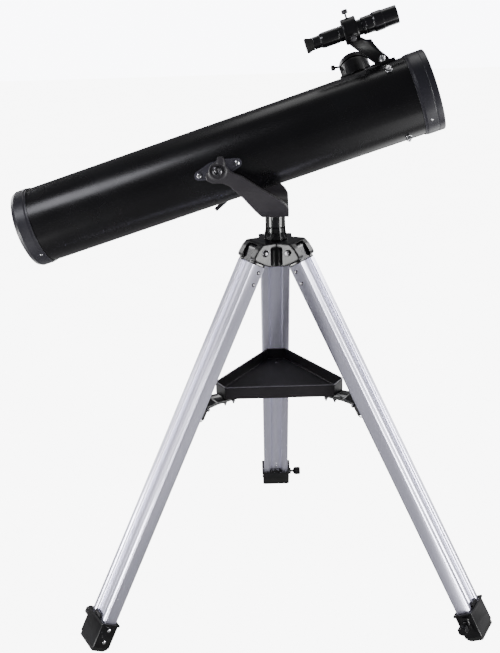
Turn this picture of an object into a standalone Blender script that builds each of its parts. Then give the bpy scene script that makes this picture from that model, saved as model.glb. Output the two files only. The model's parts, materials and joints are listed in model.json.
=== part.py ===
"""Newtonian reflector telescope on a fork mount and a three-legged aluminium stand.

Metres, +Z up, ground at z = 0. The tube's front end points to +X and tilts up.
Empties carry the moving groups: azimuth_axis (vertical, on the post), altitude_axis
(through both trunnions), leg_*_axis (local X across the leg, Y outward, Z down the leg),
focuser_axis and finder_axis (local Z straight out of the tube wall).
"""

import math

import bmesh
import bpy
from mathutils import Matrix, Vector

# ---- driving dimensions (metres, degrees) ----
ORIGIN = (0.04018, -0.07935, 0.0)  # foot of the azimuth axis, from the middle of the footprint
GAP = 0.0003

LEGS = {"a": 90, "b": 210, "c": 330}
LEAN = 28.37
HINGE_R, HINGE_Z = 0.0370, 0.6330
LEG_W, LEG_T, LEG_WALL = 0.0520, 0.0240, 0.0016
CHANNEL_W, CHANNEL_D = 0.0250, 0.0025
LEG_TOP, LEG_END = 0.0230, 0.6950
INNER_W, INNER_T, INNER_TOP = 0.0430, 0.0144, 0.1000
SHOE_TOP, SHOE_END, PAD_END = 0.6660, 0.7095, 0.7165
SHOE_W, SHOE_T = 0.0580, 0.0310
SCREW_S = 0.6830

HUB_TOP, HUB_LOW = 0.6480, 0.6060
POST_R, POST_TOP = 0.0165, 0.6917

TRAY_CORNER_R, TRAY_CORNER_HALF = 0.1150, 0.0173
TRAY_RIM, TRAY_H, TRAY_WALL = 0.4130, 0.0220, 0.0016

YOKE_TURN = -2.0
YOKE_LOW, YOKE_FLOOR = 0.6920, 0.0110
ARM_IN, ARM_OUT = 0.0715, 0.0815
PIVOT_X, PIVOT_Z = -0.0870, 0.7750

TUBE_R, TUBE_WALL = 0.0625, 0.0013
TUBE_FRONT, TUBE_REAR, TILT = 0.3560, -0.3440, 17.6
RING_L, CAP_L, RIM_R = 0.0320, 0.0300, 0.0645
SPIDER_X = 0.2960

FOCUS_X, FOCUS_TURN = 0.2530, -45.0
SHAFT_Y, SHAFT_Z, EYE_SCREW = 0.0250, 0.0700, 15.0
FINDER_TURN, FINDER_R = -8.0, 0.1270
FINDER_REAR, FINDER_FRONT = 0.1865, 0.3365

ROD_Y, ROD_R = 0.0930, 0.0025
ROD_TOP_X = 0.1560
SWIVEL = (-0.0400, 0.7345)
ROD_L = 0.2190


# ---- scene, collections, materials ----
def clear_scene():
    for ob in list(bpy.data.objects):
        bpy.data.objects.remove(ob, do_unlink=True)


def new_collection(name):
    coll = bpy.data.collections.new(name)
    bpy.context.scene.collection.children.link(coll)
    return coll


def material(name, rgb, rough, metal=0.0):
    mat = bpy.data.materials.new(name)
    mat.use_nodes = True
    bsdf = mat.node_tree.nodes["Principled BSDF"]
    bsdf.inputs["Base Color"].default_value = (*rgb, 1)
    bsdf.inputs["Roughness"].default_value = rough
    bsdf.inputs["Metallic"].default_value = metal
    mat.diffuse_color = (*rgb, 1)
    return mat


clear_scene()
PARTS = new_collection("newtonian_reflector_telescope")
CUTTERS = new_collection("cutters")
PAINT = ("tube_paint", (0.012, 0.012, 0.014), 0.32)
PLASTIC = ("black_plastic", (0.014, 0.013, 0.015), 0.38)
GREY = ("fork_coat", (0.050, 0.046, 0.052), 0.45)
ALUMINIUM = ("anodised_aluminium", (0.62, 0.62, 0.68), 0.30, 1.0)
STEEL = ("bright_steel", (0.75, 0.75, 0.76), 0.22, 1.0)
COAT = ("tray_coat", (0.020, 0.019, 0.021), 0.55)
RUBBER = ("rubber", (0.020, 0.020, 0.020), 0.80)
GLASS = ("glass", (0.10, 0.12, 0.16), 0.05)
MIRROR = ("mirror", (0.90, 0.91, 0.92), 0.03, 1.0)


# ---- object helpers ----
def axis(name, parent=None, location=(0, 0, 0), rotation=(0, 0, 0)):
    """An empty that carries a group; rotation in degrees, XYZ order."""
    ob = bpy.data.objects.new(name, None)
    ob.empty_display_size = 0.02
    PARTS.objects.link(ob)
    return place(ob, parent, location, rotation)


def place(ob, parent=None, location=(0, 0, 0), rotation=(0, 0, 0)):
    ob.parent = parent
    ob.location = location
    ob.rotation_euler = [math.radians(a) for a in rotation]
    return ob


def coat(ob, look):
    """Give the object a material of its own."""
    ob.data.materials.clear()
    ob.data.materials.append(material(f"{ob.name}_{look[0]}", *look[1:]))
    ob.data.shade_smooth()
    ob.data.set_sharp_from_angle(angle=math.radians(35))
    return ob


def store(name, mesh):
    ob = bpy.data.objects.new(name, mesh)
    if name.startswith("cut_"):
        CUTTERS.objects.link(ob)
        ob.hide_render = True
        ob.display_type = "WIRE"
    else:
        PARTS.objects.link(ob)
    return ob


def from_bmesh(name, bm):
    mesh = bpy.data.meshes.new(name)
    bm.to_mesh(mesh)
    bm.free()
    return store(name, mesh)


def bevel(ob, width, segments=1, angle=40):
    mod = ob.modifiers.new("round", "BEVEL")
    mod.width = width
    mod.segments = segments
    mod.limit_method = "ANGLE"
    mod.angle_limit = math.radians(angle)
    return ob


def box(name, low, high, edge=0.0):
    """A box between two corners, its edges rounded by edge."""
    bm = bmesh.new()
    bmesh.ops.create_cube(bm, size=1.0)
    low, high = Vector(low), Vector(high)
    for v in bm.verts:
        v.co = Vector((low[i] + (v.co[i] + 0.5) * (high[i] - low[i]) for i in range(3)))
    ob = from_bmesh(name, bm)
    return bevel(ob, edge) if edge else ob


def cylinder(name, radius, low, high, verts=24, top=None):
    """A cylinder or cone along local Z between two heights."""
    bm = bmesh.new()
    move = Matrix.Translation((0, 0, (low + high) / 2))
    bmesh.ops.create_cone(bm, cap_ends=True, segments=verts, radius1=radius,
                          radius2=radius if top is None else top, depth=high - low, matrix=move)
    return from_bmesh(name, bm)


def lathe(name, profile, steps=32, closed=True):
    """Turn an (r, z) profile about local Z: down the outer side, then up the bore."""
    bm = bmesh.new()
    verts = [bm.verts.new((r, 0, z)) for r, z in profile]
    pairs = list(zip(verts, verts[1:])) + ([(verts[-1], verts[0])] if closed else [])
    for pair in pairs:
        bm.edges.new(pair)
    ob = from_bmesh(name, bm)
    mod = ob.modifiers.new("turn", "SCREW")
    mod.steps = mod.render_steps = steps
    mod.use_merge_vertices = True
    mod.merge_threshold = 0.00001
    mod.use_smooth_shade = True
    return ob


def plate(name, loops, low, high):
    """Flat outlines in local XY, filled and extruded between two heights."""
    curve = bpy.data.curves.new(name, "CURVE")
    curve.dimensions = "2D"
    curve.fill_mode = "BOTH"
    curve.extrude = (high - low) / 2
    for loop in loops:
        spline = curve.splines.new("POLY")
        spline.points.add(len(loop) - 1)
        for point, (x, y) in zip(spline.points, loop):
            point.co = (x, y, 0, 1)
        spline.use_cyclic_u = True
    ob = bpy.data.objects.new(name, curve)
    PARTS.objects.link(ob)
    bpy.context.view_layer.update()
    mesh = bpy.data.meshes.new_from_object(ob.evaluated_get(bpy.context.evaluated_depsgraph_get()))
    bpy.data.objects.remove(ob)
    bpy.data.curves.remove(curve)
    bm = bmesh.new()
    bm.from_mesh(mesh)
    bmesh.ops.remove_doubles(bm, verts=bm.verts, dist=0.00001)
    bmesh.ops.translate(bm, verts=bm.verts, vec=(0, 0, (low + high) / 2))
    bm.to_mesh(mesh)
    bm.free()
    mesh.materials.clear()
    return store(name, mesh)


def boolean(target, operation, *others):
    for other in others:
        mod = target.modifiers.new(other.name, "BOOLEAN")
        mod.operation = operation
        mod.solver = "EXACT"
        mod.object = other
    return target


def cut(target, *cutters):
    return boolean(target, "DIFFERENCE", *cutters)


def join(target, *others):
    return boolean(target, "UNION", *others)


def arc(cx, cy, radius, start, end, count):
    """Points on a circle, angles in degrees."""
    turn = [math.radians(start + (end - start) * i / (count - 1)) for i in range(count)]
    return [(cx + radius * math.cos(a), cy + radius * math.sin(a)) for a in turn]


def polar(radius, degrees):
    return radius * math.cos(math.radians(degrees)), radius * math.sin(math.radians(degrees))


# local Z laid along another axis of the parent
ALONG_X, ALONG_Y = (0, 90, 0), (-90, 0, 0)
SIDE_YZ = (90, 0, 90)  # outline x -> parent Y, outline y -> parent Z, thickness -> parent X
SIDE_XZ = (90, 0, 0)  # outline x -> parent X, outline y -> parent Z, thickness -> parent -Y


# ---- frames ----
def leg_matrix(azimuth):
    spin = Matrix.Rotation(math.radians(azimuth - 90), 4, "Z")
    hinge = Matrix.Translation((0, HINGE_R, HINGE_Z))
    tip = Matrix.Rotation(math.radians(180 + LEAN), 4, "X") @ Matrix.Rotation(math.pi, 4, "Z")
    return spin @ hinge @ tip


GROUND = axis("ground", None, ORIGIN)
AZIMUTH = axis("azimuth_axis", GROUND, (0, 0, 0), (0, 0, YOKE_TURN))
ALTITUDE = axis("altitude_axis", AZIMUTH, (PIVOT_X, 0, PIVOT_Z), (0, -TILT, 0))
FOCUSER = axis("focuser_axis", ALTITUDE, (FOCUS_X, 0, 0), (FOCUS_TURN, 0, 0))
FINDER = axis("finder_axis", ALTITUDE, (0, 0, 0), (FINDER_TURN, 0, 0))


# ---- stand ----
def half_section(grow, side_x):
    """Right half of the leg's outer outline, from the front channel round to the back one."""
    half_t, floor_t = LEG_T / 2 + grow, LEG_T / 2 - CHANNEL_D + grow
    lip = CHANNEL_W / 2 - grow
    flank = [(side_x - 0.0025 + (0.0025 + grow) * math.cos(math.radians(a)),
              half_t * math.sin(math.radians(a))) for a in range(90, -91, -30)]
    return [(lip, floor_t), (lip, half_t), *flank, (lip, -half_t), (lip, -floor_t)]


def leg_section(grow=0.0):
    """Closed outline: flat faces with a sunk channel front and back, bowed flanks."""
    right = half_section(grow, LEG_W / 2)
    left = [(-x, y) for x, y in reversed(right)]
    return right + left


def stand_leg(key, azimuth):
    frame = axis(f"leg_{key}_axis", GROUND)
    frame.matrix_local = leg_matrix(azimuth)
    leg_top_block(key, frame)
    leg_tubes(key, frame)
    leg_shoe(key, frame)
    leg_foot(key, frame)
    leg_screws(key, frame)
    tray_bracket(key, frame)


def leg_top_block(key, frame):
    """Tongue between the hub's ears, a flange on the leg's end, a plug inside the leg."""
    outline = [*arc(0, 0, 0.0108, 180, 360, 9), (0.0108, 0.0215), (-0.0108, 0.0215)]
    block = place(plate(f"leg_{key}_top_block", [outline], -0.0130, 0.0130), frame, (0, 0, 0), SIDE_YZ)
    flange = place(plate(f"cut_flange_{key}", [leg_section(-0.0004)], 0.0190, LEG_TOP - GAP), frame)
    plug = place(box(f"cut_plug_{key}", (-0.0212, -0.0074, 0.0200), (0.0212, 0.0074, 0.0620)), frame)
    pin = place(cylinder(f"cut_pin_{key}", 0.0034, -0.02, 0.02, 20), frame, (0, 0, 0), ALONG_X)
    coat(cut(join(block, flange, plug), pin), PLASTIC)


def leg_tubes(key, frame):
    bore = [(-x, y) for x, y in leg_section(-LEG_WALL)]
    outer = plate(f"leg_{key}_outer", [leg_section(), bore], LEG_TOP, LEG_END)
    coat(place(outer, frame), ALUMINIUM)
    w, t, wall = INNER_W / 2, INNER_T / 2, 0.0014
    loops = [[(w - d, t - d), (w - d, d - t), (d - w, d - t), (d - w, t - d)] for d in (0, wall)]
    inner = plate(f"leg_{key}_inner", loops, INNER_TOP, SHOE_END - GAP)
    coat(place(inner, frame), ALUMINIUM)


def leg_shoe(key, frame):
    """Clamp at the lower end: lip, tongues in the channels, boss for the screw."""
    w, t = SHOE_W / 2, SHOE_T / 2
    shoe = box(f"leg_{key}_shoe", (-w, -t, SHOE_TOP), (w, t, SHOE_END - GAP), 0.0022)
    lip = box(f"cut_lip_{key}", (-w - 0.0016, -t - 0.0016, SHOE_TOP - 0.001),
              (w + 0.0016, t + 0.0016, SHOE_TOP + 0.0028), 0.0008)
    tongue = box(f"cut_tongue_{key}", (-0.0100, -t + 0.0004, SHOE_TOP - 0.0075),
                 (0.0100, t - 0.0004, SHOE_TOP + 0.004), 0.0010)
    boss = cylinder(f"cut_boss_{key}", 0.0062, 0.0260, 0.0335, 20)
    well = plate(f"cut_well_{key}", [leg_section(GAP)], SHOE_TOP - 0.02, LEG_END + GAP)
    slot = box(f"cut_slot_{key}", (-INNER_W / 2 - GAP, -INNER_T / 2 - GAP, LEG_END - 0.02),
               (INNER_W / 2 + GAP, INNER_T / 2 + GAP, SHOE_END + 0.01))
    bore = cylinder(f"cut_bore_{key}", 0.0029, 0.0200, 0.0400, 16)
    for ob in (shoe, lip, tongue, well, slot):
        place(ob, frame)
    for ob in (boss, bore):
        place(ob, frame, (0, 0, SCREW_S), (0, -90, 0))
    join(shoe, lip, tongue, boss)
    coat(cut(shoe, well, slot, bore), PLASTIC)


def leg_foot(key, frame):
    """Rubber foot on the inner leg, its low edge trimmed flat on the ground."""
    w, t = SHOE_W / 2 - 0.0015, SHOE_T / 2 - 0.0008
    foot = box(f"leg_{key}_foot", (-w, -t, SHOE_END), (w, t, PAD_END), 0.0014)
    plug = box(f"cut_foot_plug_{key}", (-INNER_W / 2 + 0.0017, -INNER_T / 2 + 0.0017, 0.6900),
               (INNER_W / 2 - 0.0017, INNER_T / 2 - 0.0017, SHOE_END + 0.002))
    place(foot, frame)
    place(plug, frame)
    soil = box(f"cut_soil_{key}", (-0.1, -0.1, -0.05), (0.1, 0.1, 0.0))
    foot_r = HINGE_R + PAD_END * math.sin(math.radians(LEAN))
    place(soil, GROUND, (*polar(foot_r, LEGS[key]), 0), (0, 0, 0))
    coat(cut(join(foot, plug), soil), RUBBER)


def leg_screws(key, frame):
    """Clamp thumbscrew across the shoe, and the pivot bolt through the hub's ears."""
    knob = [(0, 0.0540), (0.0070, 0.0540), (0.0086, 0.0515), (0.0086, 0.0415),
            (0.0060, 0.0385), (0.0024, 0.0378), (0.0024, 0.0268), (0, 0.0268)]
    screw = lathe(f"leg_{key}_thumbscrew", knob, 16, closed=False)
    coat(place(screw, frame, (0, 0, SCREW_S), (0, -90, 0)), PLASTIC)
    bolt = [(0, 0.0325), (0.0062, 0.0318), (0.0062, 0.0284), (0.0030, 0.0284),
            (0.0030, -0.0284), (0.0056, -0.0284), (0.0056, -0.0320), (0, -0.0320)]
    pin = lathe(f"leg_{key}_pivot_bolt", bolt, 12, closed=False)
    coat(place(pin, frame, (0, 0, 0), ALONG_X), STEEL)


def tray_bracket(key, frame):
    """Two cheeks outside a tray corner, a ledge under it, a pad in the leg's inner channel."""
    azimuth = LEGS[key]
    cheek = [(0.1158, 0.4110), (0.1215, 0.4110), (0.1270, 0.3980), (0.1500, 0.3920), (0.1620, 0.3760),
             (0.1570, 0.3720), (0.1470, 0.3830), (0.1158, 0.3850)]
    bracket = plate(f"tray_bracket_{key}", [cheek], 0.0160, 0.0184)
    other = plate(f"cut_cheek_{key}", [cheek], -0.0184, -0.0160)
    ledge = plate(f"cut_ledge_{key}", [[(0.0900, 0.3907), (0.1300, 0.3907), (0.1340, 0.3860),
                                        (0.0900, 0.3870)]], -0.0170, 0.0170)
    pin = cylinder(f"cut_bracket_pin_{key}", 0.0032, -0.0215, 0.0215, 16)
    for ob in (bracket, other, ledge):
        place(ob, GROUND, (0, 0, 0), (90, 0, azimuth))
    place(pin, GROUND, (*polar(0.1330, azimuth), 0.3950), (0, 90, azimuth + 90))
    pad = box(f"cut_pad_{key}", (-0.0115, -0.0160, 0.2620), (0.0115, -0.0099, 0.3060), 0.0010)
    bar = box(f"cut_bar_{key}", (-0.0170, -0.0200, 0.2760), (0.0170, -0.0140, 0.2940))
    for ob in (pad, bar):
        place(ob, frame)
    coat(join(bracket, other, ledge, pin, pad, bar), PLASTIC)


def tray_outline(inset):
    """Triangle with cut corners, one corner to each leg."""
    points = []
    side = TRAY_CORNER_HALF - inset * 0.577
    for azimuth in LEGS.values():
        cx, cy = polar(TRAY_CORNER_R - inset, azimuth)
        dx, dy = polar(side, azimuth - 90)
        points += [(cx + dx, cy + dy), (cx - dx, cy - dy)]
    return points


def tray():
    dish = plate("accessory_tray", [tray_outline(0)], TRAY_RIM - TRAY_H, TRAY_RIM)
    place(bevel(dish, 0.0030, 2, 30), GROUND)
    hollow = plate("cut_tray", [tray_outline(TRAY_WALL)], TRAY_RIM - TRAY_H + TRAY_WALL, TRAY_RIM + 0.02)
    place(bevel(hollow, 0.0024, 1, 30), GROUND)
    coat(cut(dish, hollow), COAT)


def hub_arm(key, azimuth):
    """One arm with its slot and pin bore, in the upright plane of its leg."""
    side = [(0, HUB_TOP - 0.001), (0.0400, HUB_TOP), (0.0490, 0.6400), (0.0600, 0.6240),
            (0.0352, 0.6109), (0.0200, HUB_LOW), (0, HUB_LOW)]
    arm = bevel(plate(f"cut_arm_{key}", [side], -0.0280, 0.0280), 0.0040, 1, 25)
    slot_side = [(0.0150, 0.6000), (0.0150, 0.6300), (0.0300, 0.6455), (0.0430, 0.6455),
                 (0.0700, 0.6300), (0.0700, 0.6000)]
    slot = plate(f"cut_arm_slot_{key}", [slot_side], -0.0134, 0.0134)
    bore = cylinder(f"cut_arm_bore_{key}", 0.0034, -0.04, 0.04, 20)
    spin = azimuth + 90
    for ob in (arm, slot):
        # outline x runs outward along the leg's azimuth, outline y runs up
        place(ob, GROUND, (0, 0, 0), (90, 0, azimuth))
    x, y = polar(HINGE_R, azimuth)
    place(bore, GROUND, (x, y, HINGE_Z), (0, 90, spin))
    return arm, slot, bore


def hub():
    core = [(0, HUB_TOP), (0.0290, HUB_TOP), (0.0310, 0.6450), (0.0310, 0.6120),
            (0.0280, HUB_LOW + 0.001), (0, HUB_LOW + 0.001)]
    body = lathe("hub", core, 30, closed=False)
    place(body, GROUND)
    trio = [hub_arm(key, azimuth) for key, azimuth in LEGS.items()]
    join(body, *(arm for arm, _, _ in trio))
    cut(body, *(slot for _, slot, _ in trio), *(bore for _, _, bore in trio))
    coat(body, PLASTIC)


def post():
    """Azimuth post with a spigot that the fork turns on."""
    shape = [(0, 0.7060), (0.0088, 0.7060), (0.0088, POST_TOP), (POST_R, POST_TOP),
             (POST_R, 0.6700), (0.0150, 0.6670), (0.0150, 0.6600), (0.0185, 0.6540),
             (0.0200, HUB_TOP + GAP), (0, HUB_TOP + GAP)]
    stem = place(lathe("azimuth_post", shape, 24, closed=False), GROUND)
    tap = place(cylinder("cut_post_tap", 0.0034, 0.6950, 0.7200, 16), GROUND)
    coat(cut(stem, tap), PLASTIC)
    cap = [(0, 0.7135), (0.0090, 0.7135), (0.0110, 0.7120), (0.0110, 0.7066), (0.0030, 0.7066),
           (0.0030, 0.6980), (0, 0.6980)]
    coat(place(lathe("azimuth_bolt", cap, 24, closed=False), AZIMUTH), STEEL)


# ---- fork ----
def fork_side():
    """Side outline of both arms: base, swept arm, two prongs round the trunnion."""
    front = [(0.0225, 0.6880), (0.0225, 0.7110), (0.0180, 0.7190), (0.0105, 0.7260),
             (-0.0132, 0.7415), (-0.0497, 0.7660), (-0.0660, 0.7725), (-0.0735, 0.7820)]
    nose = [(-0.0765, 0.7960), (-0.0860, 0.7970), (-0.0885, 0.7885), (-0.0960, 0.7830),
            (-0.1010, 0.7745), (-0.1060, 0.7690), (-0.1050, 0.7600)]
    under = [(-0.0944, 0.7550), (-0.0804, 0.7555), (-0.0682, 0.7500), (-0.0480, 0.7300),
             (-0.0215, 0.6960), (-0.0200, 0.6880)]
    return front + nose + under


def fork_section():
    """Cross-section in the YZ plane: flat base, flared shoulders, upright arms."""
    low, floor = YOKE_LOW, YOKE_LOW + YOKE_FLOOR
    right = [(0.0400, low), (0.0560, low + 0.0040), (0.0690, low + 0.0150), (0.0780, low + 0.0320),
             (ARM_OUT, low + 0.0500), (ARM_OUT, 0.8100), (ARM_IN, 0.8100), (ARM_IN, low + 0.0500),
             (0.0680, low + 0.0370), (0.0600, low + 0.0230), (0.0490, low + 0.0140), (0.0380, floor)]
    left = [(-x, y) for x, y in reversed(right)]
    return right + left


def fork():
    body = plate("fork", [fork_section()], -0.1200, 0.0400)
    place(body, AZIMUTH, (0, 0, 0), SIDE_YZ)
    side = plate("cut_fork_side", [fork_side()], -0.1000, 0.1000)
    place(side, AZIMUTH, (0, 0, 0), SIDE_XZ)
    boolean(body, "INTERSECT", side)
    socket = place(cylinder("cut_fork_socket", 0.0091, 0.6800, 0.7200, 32), AZIMUTH)
    pins = cylinder("cut_fork_pins", 0.0043, -0.1200, 0.1200, 24)
    place(pins, AZIMUTH, (PIVOT_X, 0, PIVOT_Z), ALONG_Y)
    swivel = cylinder("cut_fork_swivel", 0.0034, 0.0600, 0.1200, 20)
    place(swivel, AZIMUTH, (SWIVEL[0], 0, SWIVEL[1]), ALONG_Y)
    cut(body, socket, pins, swivel)
    coat(bevel(body, 0.0012, 1, 35), GREY)


def trunnions():
    """A long diamond plate on each flank of the tube, with a boss for the pivot."""
    tips = [arc(0.0315, 0, 0.0075, -60, 60, 5), [(0.0100, 0.0135), (-0.0100, 0.0135)],
            arc(-0.0315, 0, 0.0075, 120, 240, 5), [(-0.0100, -0.0135), (0.0100, -0.0135)]]
    outline = [point for group in tips for point in group]
    for name, turn in (("near", 180), ("far", 0)):
        lug = bevel(plate(f"trunnion_{name}", [outline], 0.0560, 0.0668), 0.0010, 1, 35)
        boss = cylinder(f"cut_boss_{name}", 0.0120, 0.0640, 0.0708, 28)
        core = cylinder(f"cut_core_{name}", TUBE_R + GAP, -0.1, 0.1, 48)
        tap = cylinder(f"cut_tap_{name}", 0.0043, 0.0560, 0.0800, 24)
        for ob in (lug, boss, tap):
            # local Z out of the tube's side
            place(ob, ALTITUDE, (0, 0, 0), (-90 if turn == 0 else 90, 0, 0))
        place(core, ALTITUDE, (0, 0, 0), ALONG_X)
        coat(cut(join(lug, boss), core, tap), PLASTIC)


def pivots():
    """Bolt on the near trunnion, clamp knob on the far one."""
    bolt = [(0, 0.0870), (0.0060, 0.0870), (0.0078, 0.0855), (0.0078, 0.0819), (0.0040, 0.0819),
            (0.0040, 0.0640), (0, 0.0640)]
    near = lathe("altitude_pivot_bolt", bolt, 24, closed=False)
    coat(place(near, ALTITUDE, (0, 0, 0), (90, 0, 0)), PLASTIC)
    grip = [(0, 0.0990), (0.0100, 0.0990), (0.0128, 0.0975), (0.0140, 0.0950), (0.0140, 0.0880),
            (0.0120, 0.0850), (0.0070, 0.0840), (0.0070, 0.0819), (0.0040, 0.0819),
            (0.0040, 0.0640), (0, 0.0640)]
    knob = place(lathe("altitude_clamp_knob", grip, 25, closed=False), ALTITUDE, (0, 0, 0), ALONG_Y)
    flutes = []
    for i in range(5):
        x, y = polar(0.0172, 72 * i + 36)
        flute = cylinder(f"cut_flute_{i}", 0.0052, 0.0830, 0.1100, 12)
        flute.data.transform(Matrix.Translation((x, y, 0)))
        flutes.append(place(flute, ALTITUDE, (0, 0, 0), ALONG_Y))
    coat(cut(knob, *flutes), PLASTIC)


def slow_motion():
    """Fine-altitude rod: hinged on a post on the tube, sliding through a slotted swivel."""
    stand = [(0, 0.0885), (0.0040, 0.0885), (0.0040, 0.0700), (0.0070, 0.0680), (0.0070, 0.0590),
             (0, 0.0590)]
    stud = place(lathe("rod_stud", stand, 20, closed=False), ALTITUDE, (ROD_TOP_X, 0, 0), ALONG_Y)
    core = place(cylinder("cut_core_stud", TUBE_R + GAP, 0.10, 0.22, 48), ALTITUDE, (0, 0, 0), ALONG_X)
    tip = cylinder("cut_stud_tip", 0.0020, 0.0860, 0.0968, 16)
    place(tip, ALTITUDE, (ROD_TOP_X, 0, 0), ALONG_Y)
    coat(join(cut(stud, core), tip), STEEL)
    top = Vector((PIVOT_X + ROD_TOP_X * math.cos(math.radians(TILT)),
                  PIVOT_Z + ROD_TOP_X * math.sin(math.radians(TILT))))
    run = top - Vector(SWIVEL)
    slope = math.degrees(math.atan2(run.y, run.x))
    hinge = axis("rod_axis", ALTITUDE, (ROD_TOP_X, ROD_Y, 0), (0, TILT - slope, 0))
    rod = cylinder("altitude_rod", ROD_R, 0.0040, ROD_L, 16)
    eye = cylinder("cut_rod_eye", 0.0062, -0.0036, 0.0036, 24)
    hole = cylinder("cut_rod_eye_hole", 0.0024, -0.01, 0.01, 16)
    place(rod, hinge, (0, 0, 0), (0, -90, 0))
    for ob in (eye, hole):
        place(ob, hinge, (0, 0, 0), ALONG_Y)
    coat(cut(join(rod, eye), hole), STEEL)
    turn = axis("swivel_axis", AZIMUTH, (SWIVEL[0], 0, SWIVEL[1]), (0, -slope, 0))
    pivot = [(0, 0.0872), (0.0065, 0.0872), (0.0065, 0.0820), (0.0031, 0.0820), (0.0031, 0.0690), (0, 0.0690)]
    swivel = place(lathe("rod_swivel", pivot, 20, closed=False), turn, (0, 0, 0), ALONG_Y)
    eye = box("cut_swivel_block", (-0.0060, 0.0865, -0.0130), (0.0060, 0.1010, 0.0130), 0.0012)
    slot = box("cut_swivel_slot", (-0.0200, 0.0900, -0.0100), (0.0200, 0.0960, 0.0100))
    tap = cylinder("cut_swivel_tap", 0.0024, 0.0950, 0.1100, 16)
    place(eye, turn)
    place(slot, turn)
    place(tap, turn, (0, 0, 0), ALONG_Y)
    coat(cut(join(swivel, eye), slot, tap), PLASTIC)
    grip = [(0, 0.1130), (0.0060, 0.1130), (0.0075, 0.1115), (0.0075, 0.1050), (0.0060, 0.1035),
            (0.0020, 0.1030), (0.0020, 0.0965), (0, 0.0965)]
    knob = lathe("rod_clamp_knob", grip, 24, closed=False)
    coat(place(knob, turn, (0, 0, 0), ALONG_Y), PLASTIC)


# ---- optical tube ----
def main_tube():
    rear, front = TUBE_REAR + 0.0060, TUBE_FRONT - 0.0040
    wall = [(TUBE_R, front), (TUBE_R, rear), (TUBE_R - TUBE_WALL, rear), (TUBE_R - TUBE_WALL, front)]
    tube = place(lathe("main_tube", wall, 48), ALTITUDE, (0, 0, 0), ALONG_X)
    port = place(cylinder("cut_port", 0.0170, 0.0400, 0.0800, 32), FOCUSER)
    coat(cut(tube, port), PAINT)


def end_rings():
    a, b = TUBE_FRONT - RING_L, TUBE_FRONT
    inner = TUBE_R + GAP
    shape = [(RIM_R - 0.0010, b), (RIM_R, b - 0.0014), (RIM_R, a + 0.0050), (RIM_R - 0.0008, a + 0.0020), (RIM_R - 0.0008, a),
             (inner, a), (inner, b - 0.0037), (0.0592, b - 0.0037), (0.0600, b)]
    coat(place(lathe("front_ring", shape, 48), ALTITUDE, (0, 0, 0), ALONG_X), PLASTIC)
    a, b = TUBE_REAR, TUBE_REAR + CAP_L
    shape = [(inner, b), (RIM_R - 0.0008, b), (RIM_R - 0.0008, b - 0.0030), (RIM_R, b - 0.0050),
             (RIM_R, a + 0.0090), (RIM_R - 0.0028, a + 0.0032),
             (RIM_R - 0.0110, a), (0.0400, a), (0.0380, a + 0.0024), (0, a + 0.0024),
             (0, a + 0.0055), (inner, a + 0.0055)]
    cap = place(lathe("rear_cap", shape, 48, closed=False), ALTITUDE, (0, 0, 0), ALONG_X)
    close_loop(cap)
    holes = []
    for i in range(3):
        y, z = polar(0.0280, 120 * i + 30)
        hole = cylinder(f"cut_cap_hole_{i}", 0.0042, -0.02, 0.02, 12)
        holes.append(place(hole, ALTITUDE, (TUBE_REAR, y, z), ALONG_X))
    coat(cut(cap, *holes), PLASTIC)


def close_loop(ob):
    """Add the edge that joins a turned profile's last point to its first."""
    bm = bmesh.new()
    bm.from_mesh(ob.data)
    bm.verts.ensure_lookup_table()
    bm.edges.new((bm.verts[-1], bm.verts[0]))
    bm.to_mesh(ob.data)
    bm.free()


def mirrors():
    """Primary mirror in its cell, and the diagonal on a three-armed holder."""
    face = [(0, -0.3065), (0.0180, -0.3064), (0.0360, -0.3058), (0.0510, -0.3048), (0.0520, -0.3058),
            (0.0520, -0.3170), (0, -0.3170)]
    coat(place(lathe("primary_mirror", face, 48, closed=False), ALTITUDE, (0, 0, 0), ALONG_X), MIRROR)
    cell = [(0.0570, -0.3060), (0.0605, -0.3080), (0.0605, -0.3340), (0, -0.3340), (0, -0.3173),
            (0.0523, -0.3173), (0.0523, -0.3060)]
    coat(place(lathe("mirror_cell", cell, 48, closed=False), ALTITUDE, (0, 0, 0), ALONG_X), PLASTIC)
    close_loop(bpy.data.objects["mirror_cell"])
    stem = [(0, SPIDER_X + 0.0080), (0.0070, SPIDER_X + 0.0080), (0.0110, SPIDER_X + 0.0060),
            (0.0110, SPIDER_X - 0.0040), (0.0050, SPIDER_X - 0.0060), (0.0050, SPIDER_X - 0.0140),
            (0.0125, SPIDER_X - 0.0180), (0.0125, FOCUS_X - 0.0200), (0, FOCUS_X - 0.0200)]
    holder = place(lathe("secondary_holder", stem, 24, closed=False), ALTITUDE, (0, 0, 0), ALONG_X)
    vanes = []
    for i in range(3):
        vane = box(f"cut_vane_{i}", (SPIDER_X - 0.0060, -0.0006, 0.0080),
                   (SPIDER_X + 0.0060, 0.0006, TUBE_R - TUBE_WALL - 2 * GAP))
        vanes.append(place(vane, ALTITUDE, (0, 0, 0), (30 + 120 * i, 0, 0)))
    join(holder, *vanes)
    slope = axis("diagonal_axis", FOCUSER, (0, 0, 0), (0, -45, 0))
    clear = place(box("cut_diagonal", (-0.06, -0.03, -0.0020), (0.06, 0.03, 0.08)), slope)
    # the half-space towards the mirror is cleared, so the holder ends in a 45 degree face
    coat(cut(holder, clear), PLASTIC)
    glass = cylinder("secondary_mirror", 0.0125, -0.0016, 0.0, 32)
    glass.data.transform(Matrix.Diagonal((1.35, 1.0, 1.0, 1.0)))
    coat(place(glass, slope), MIRROR)


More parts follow.
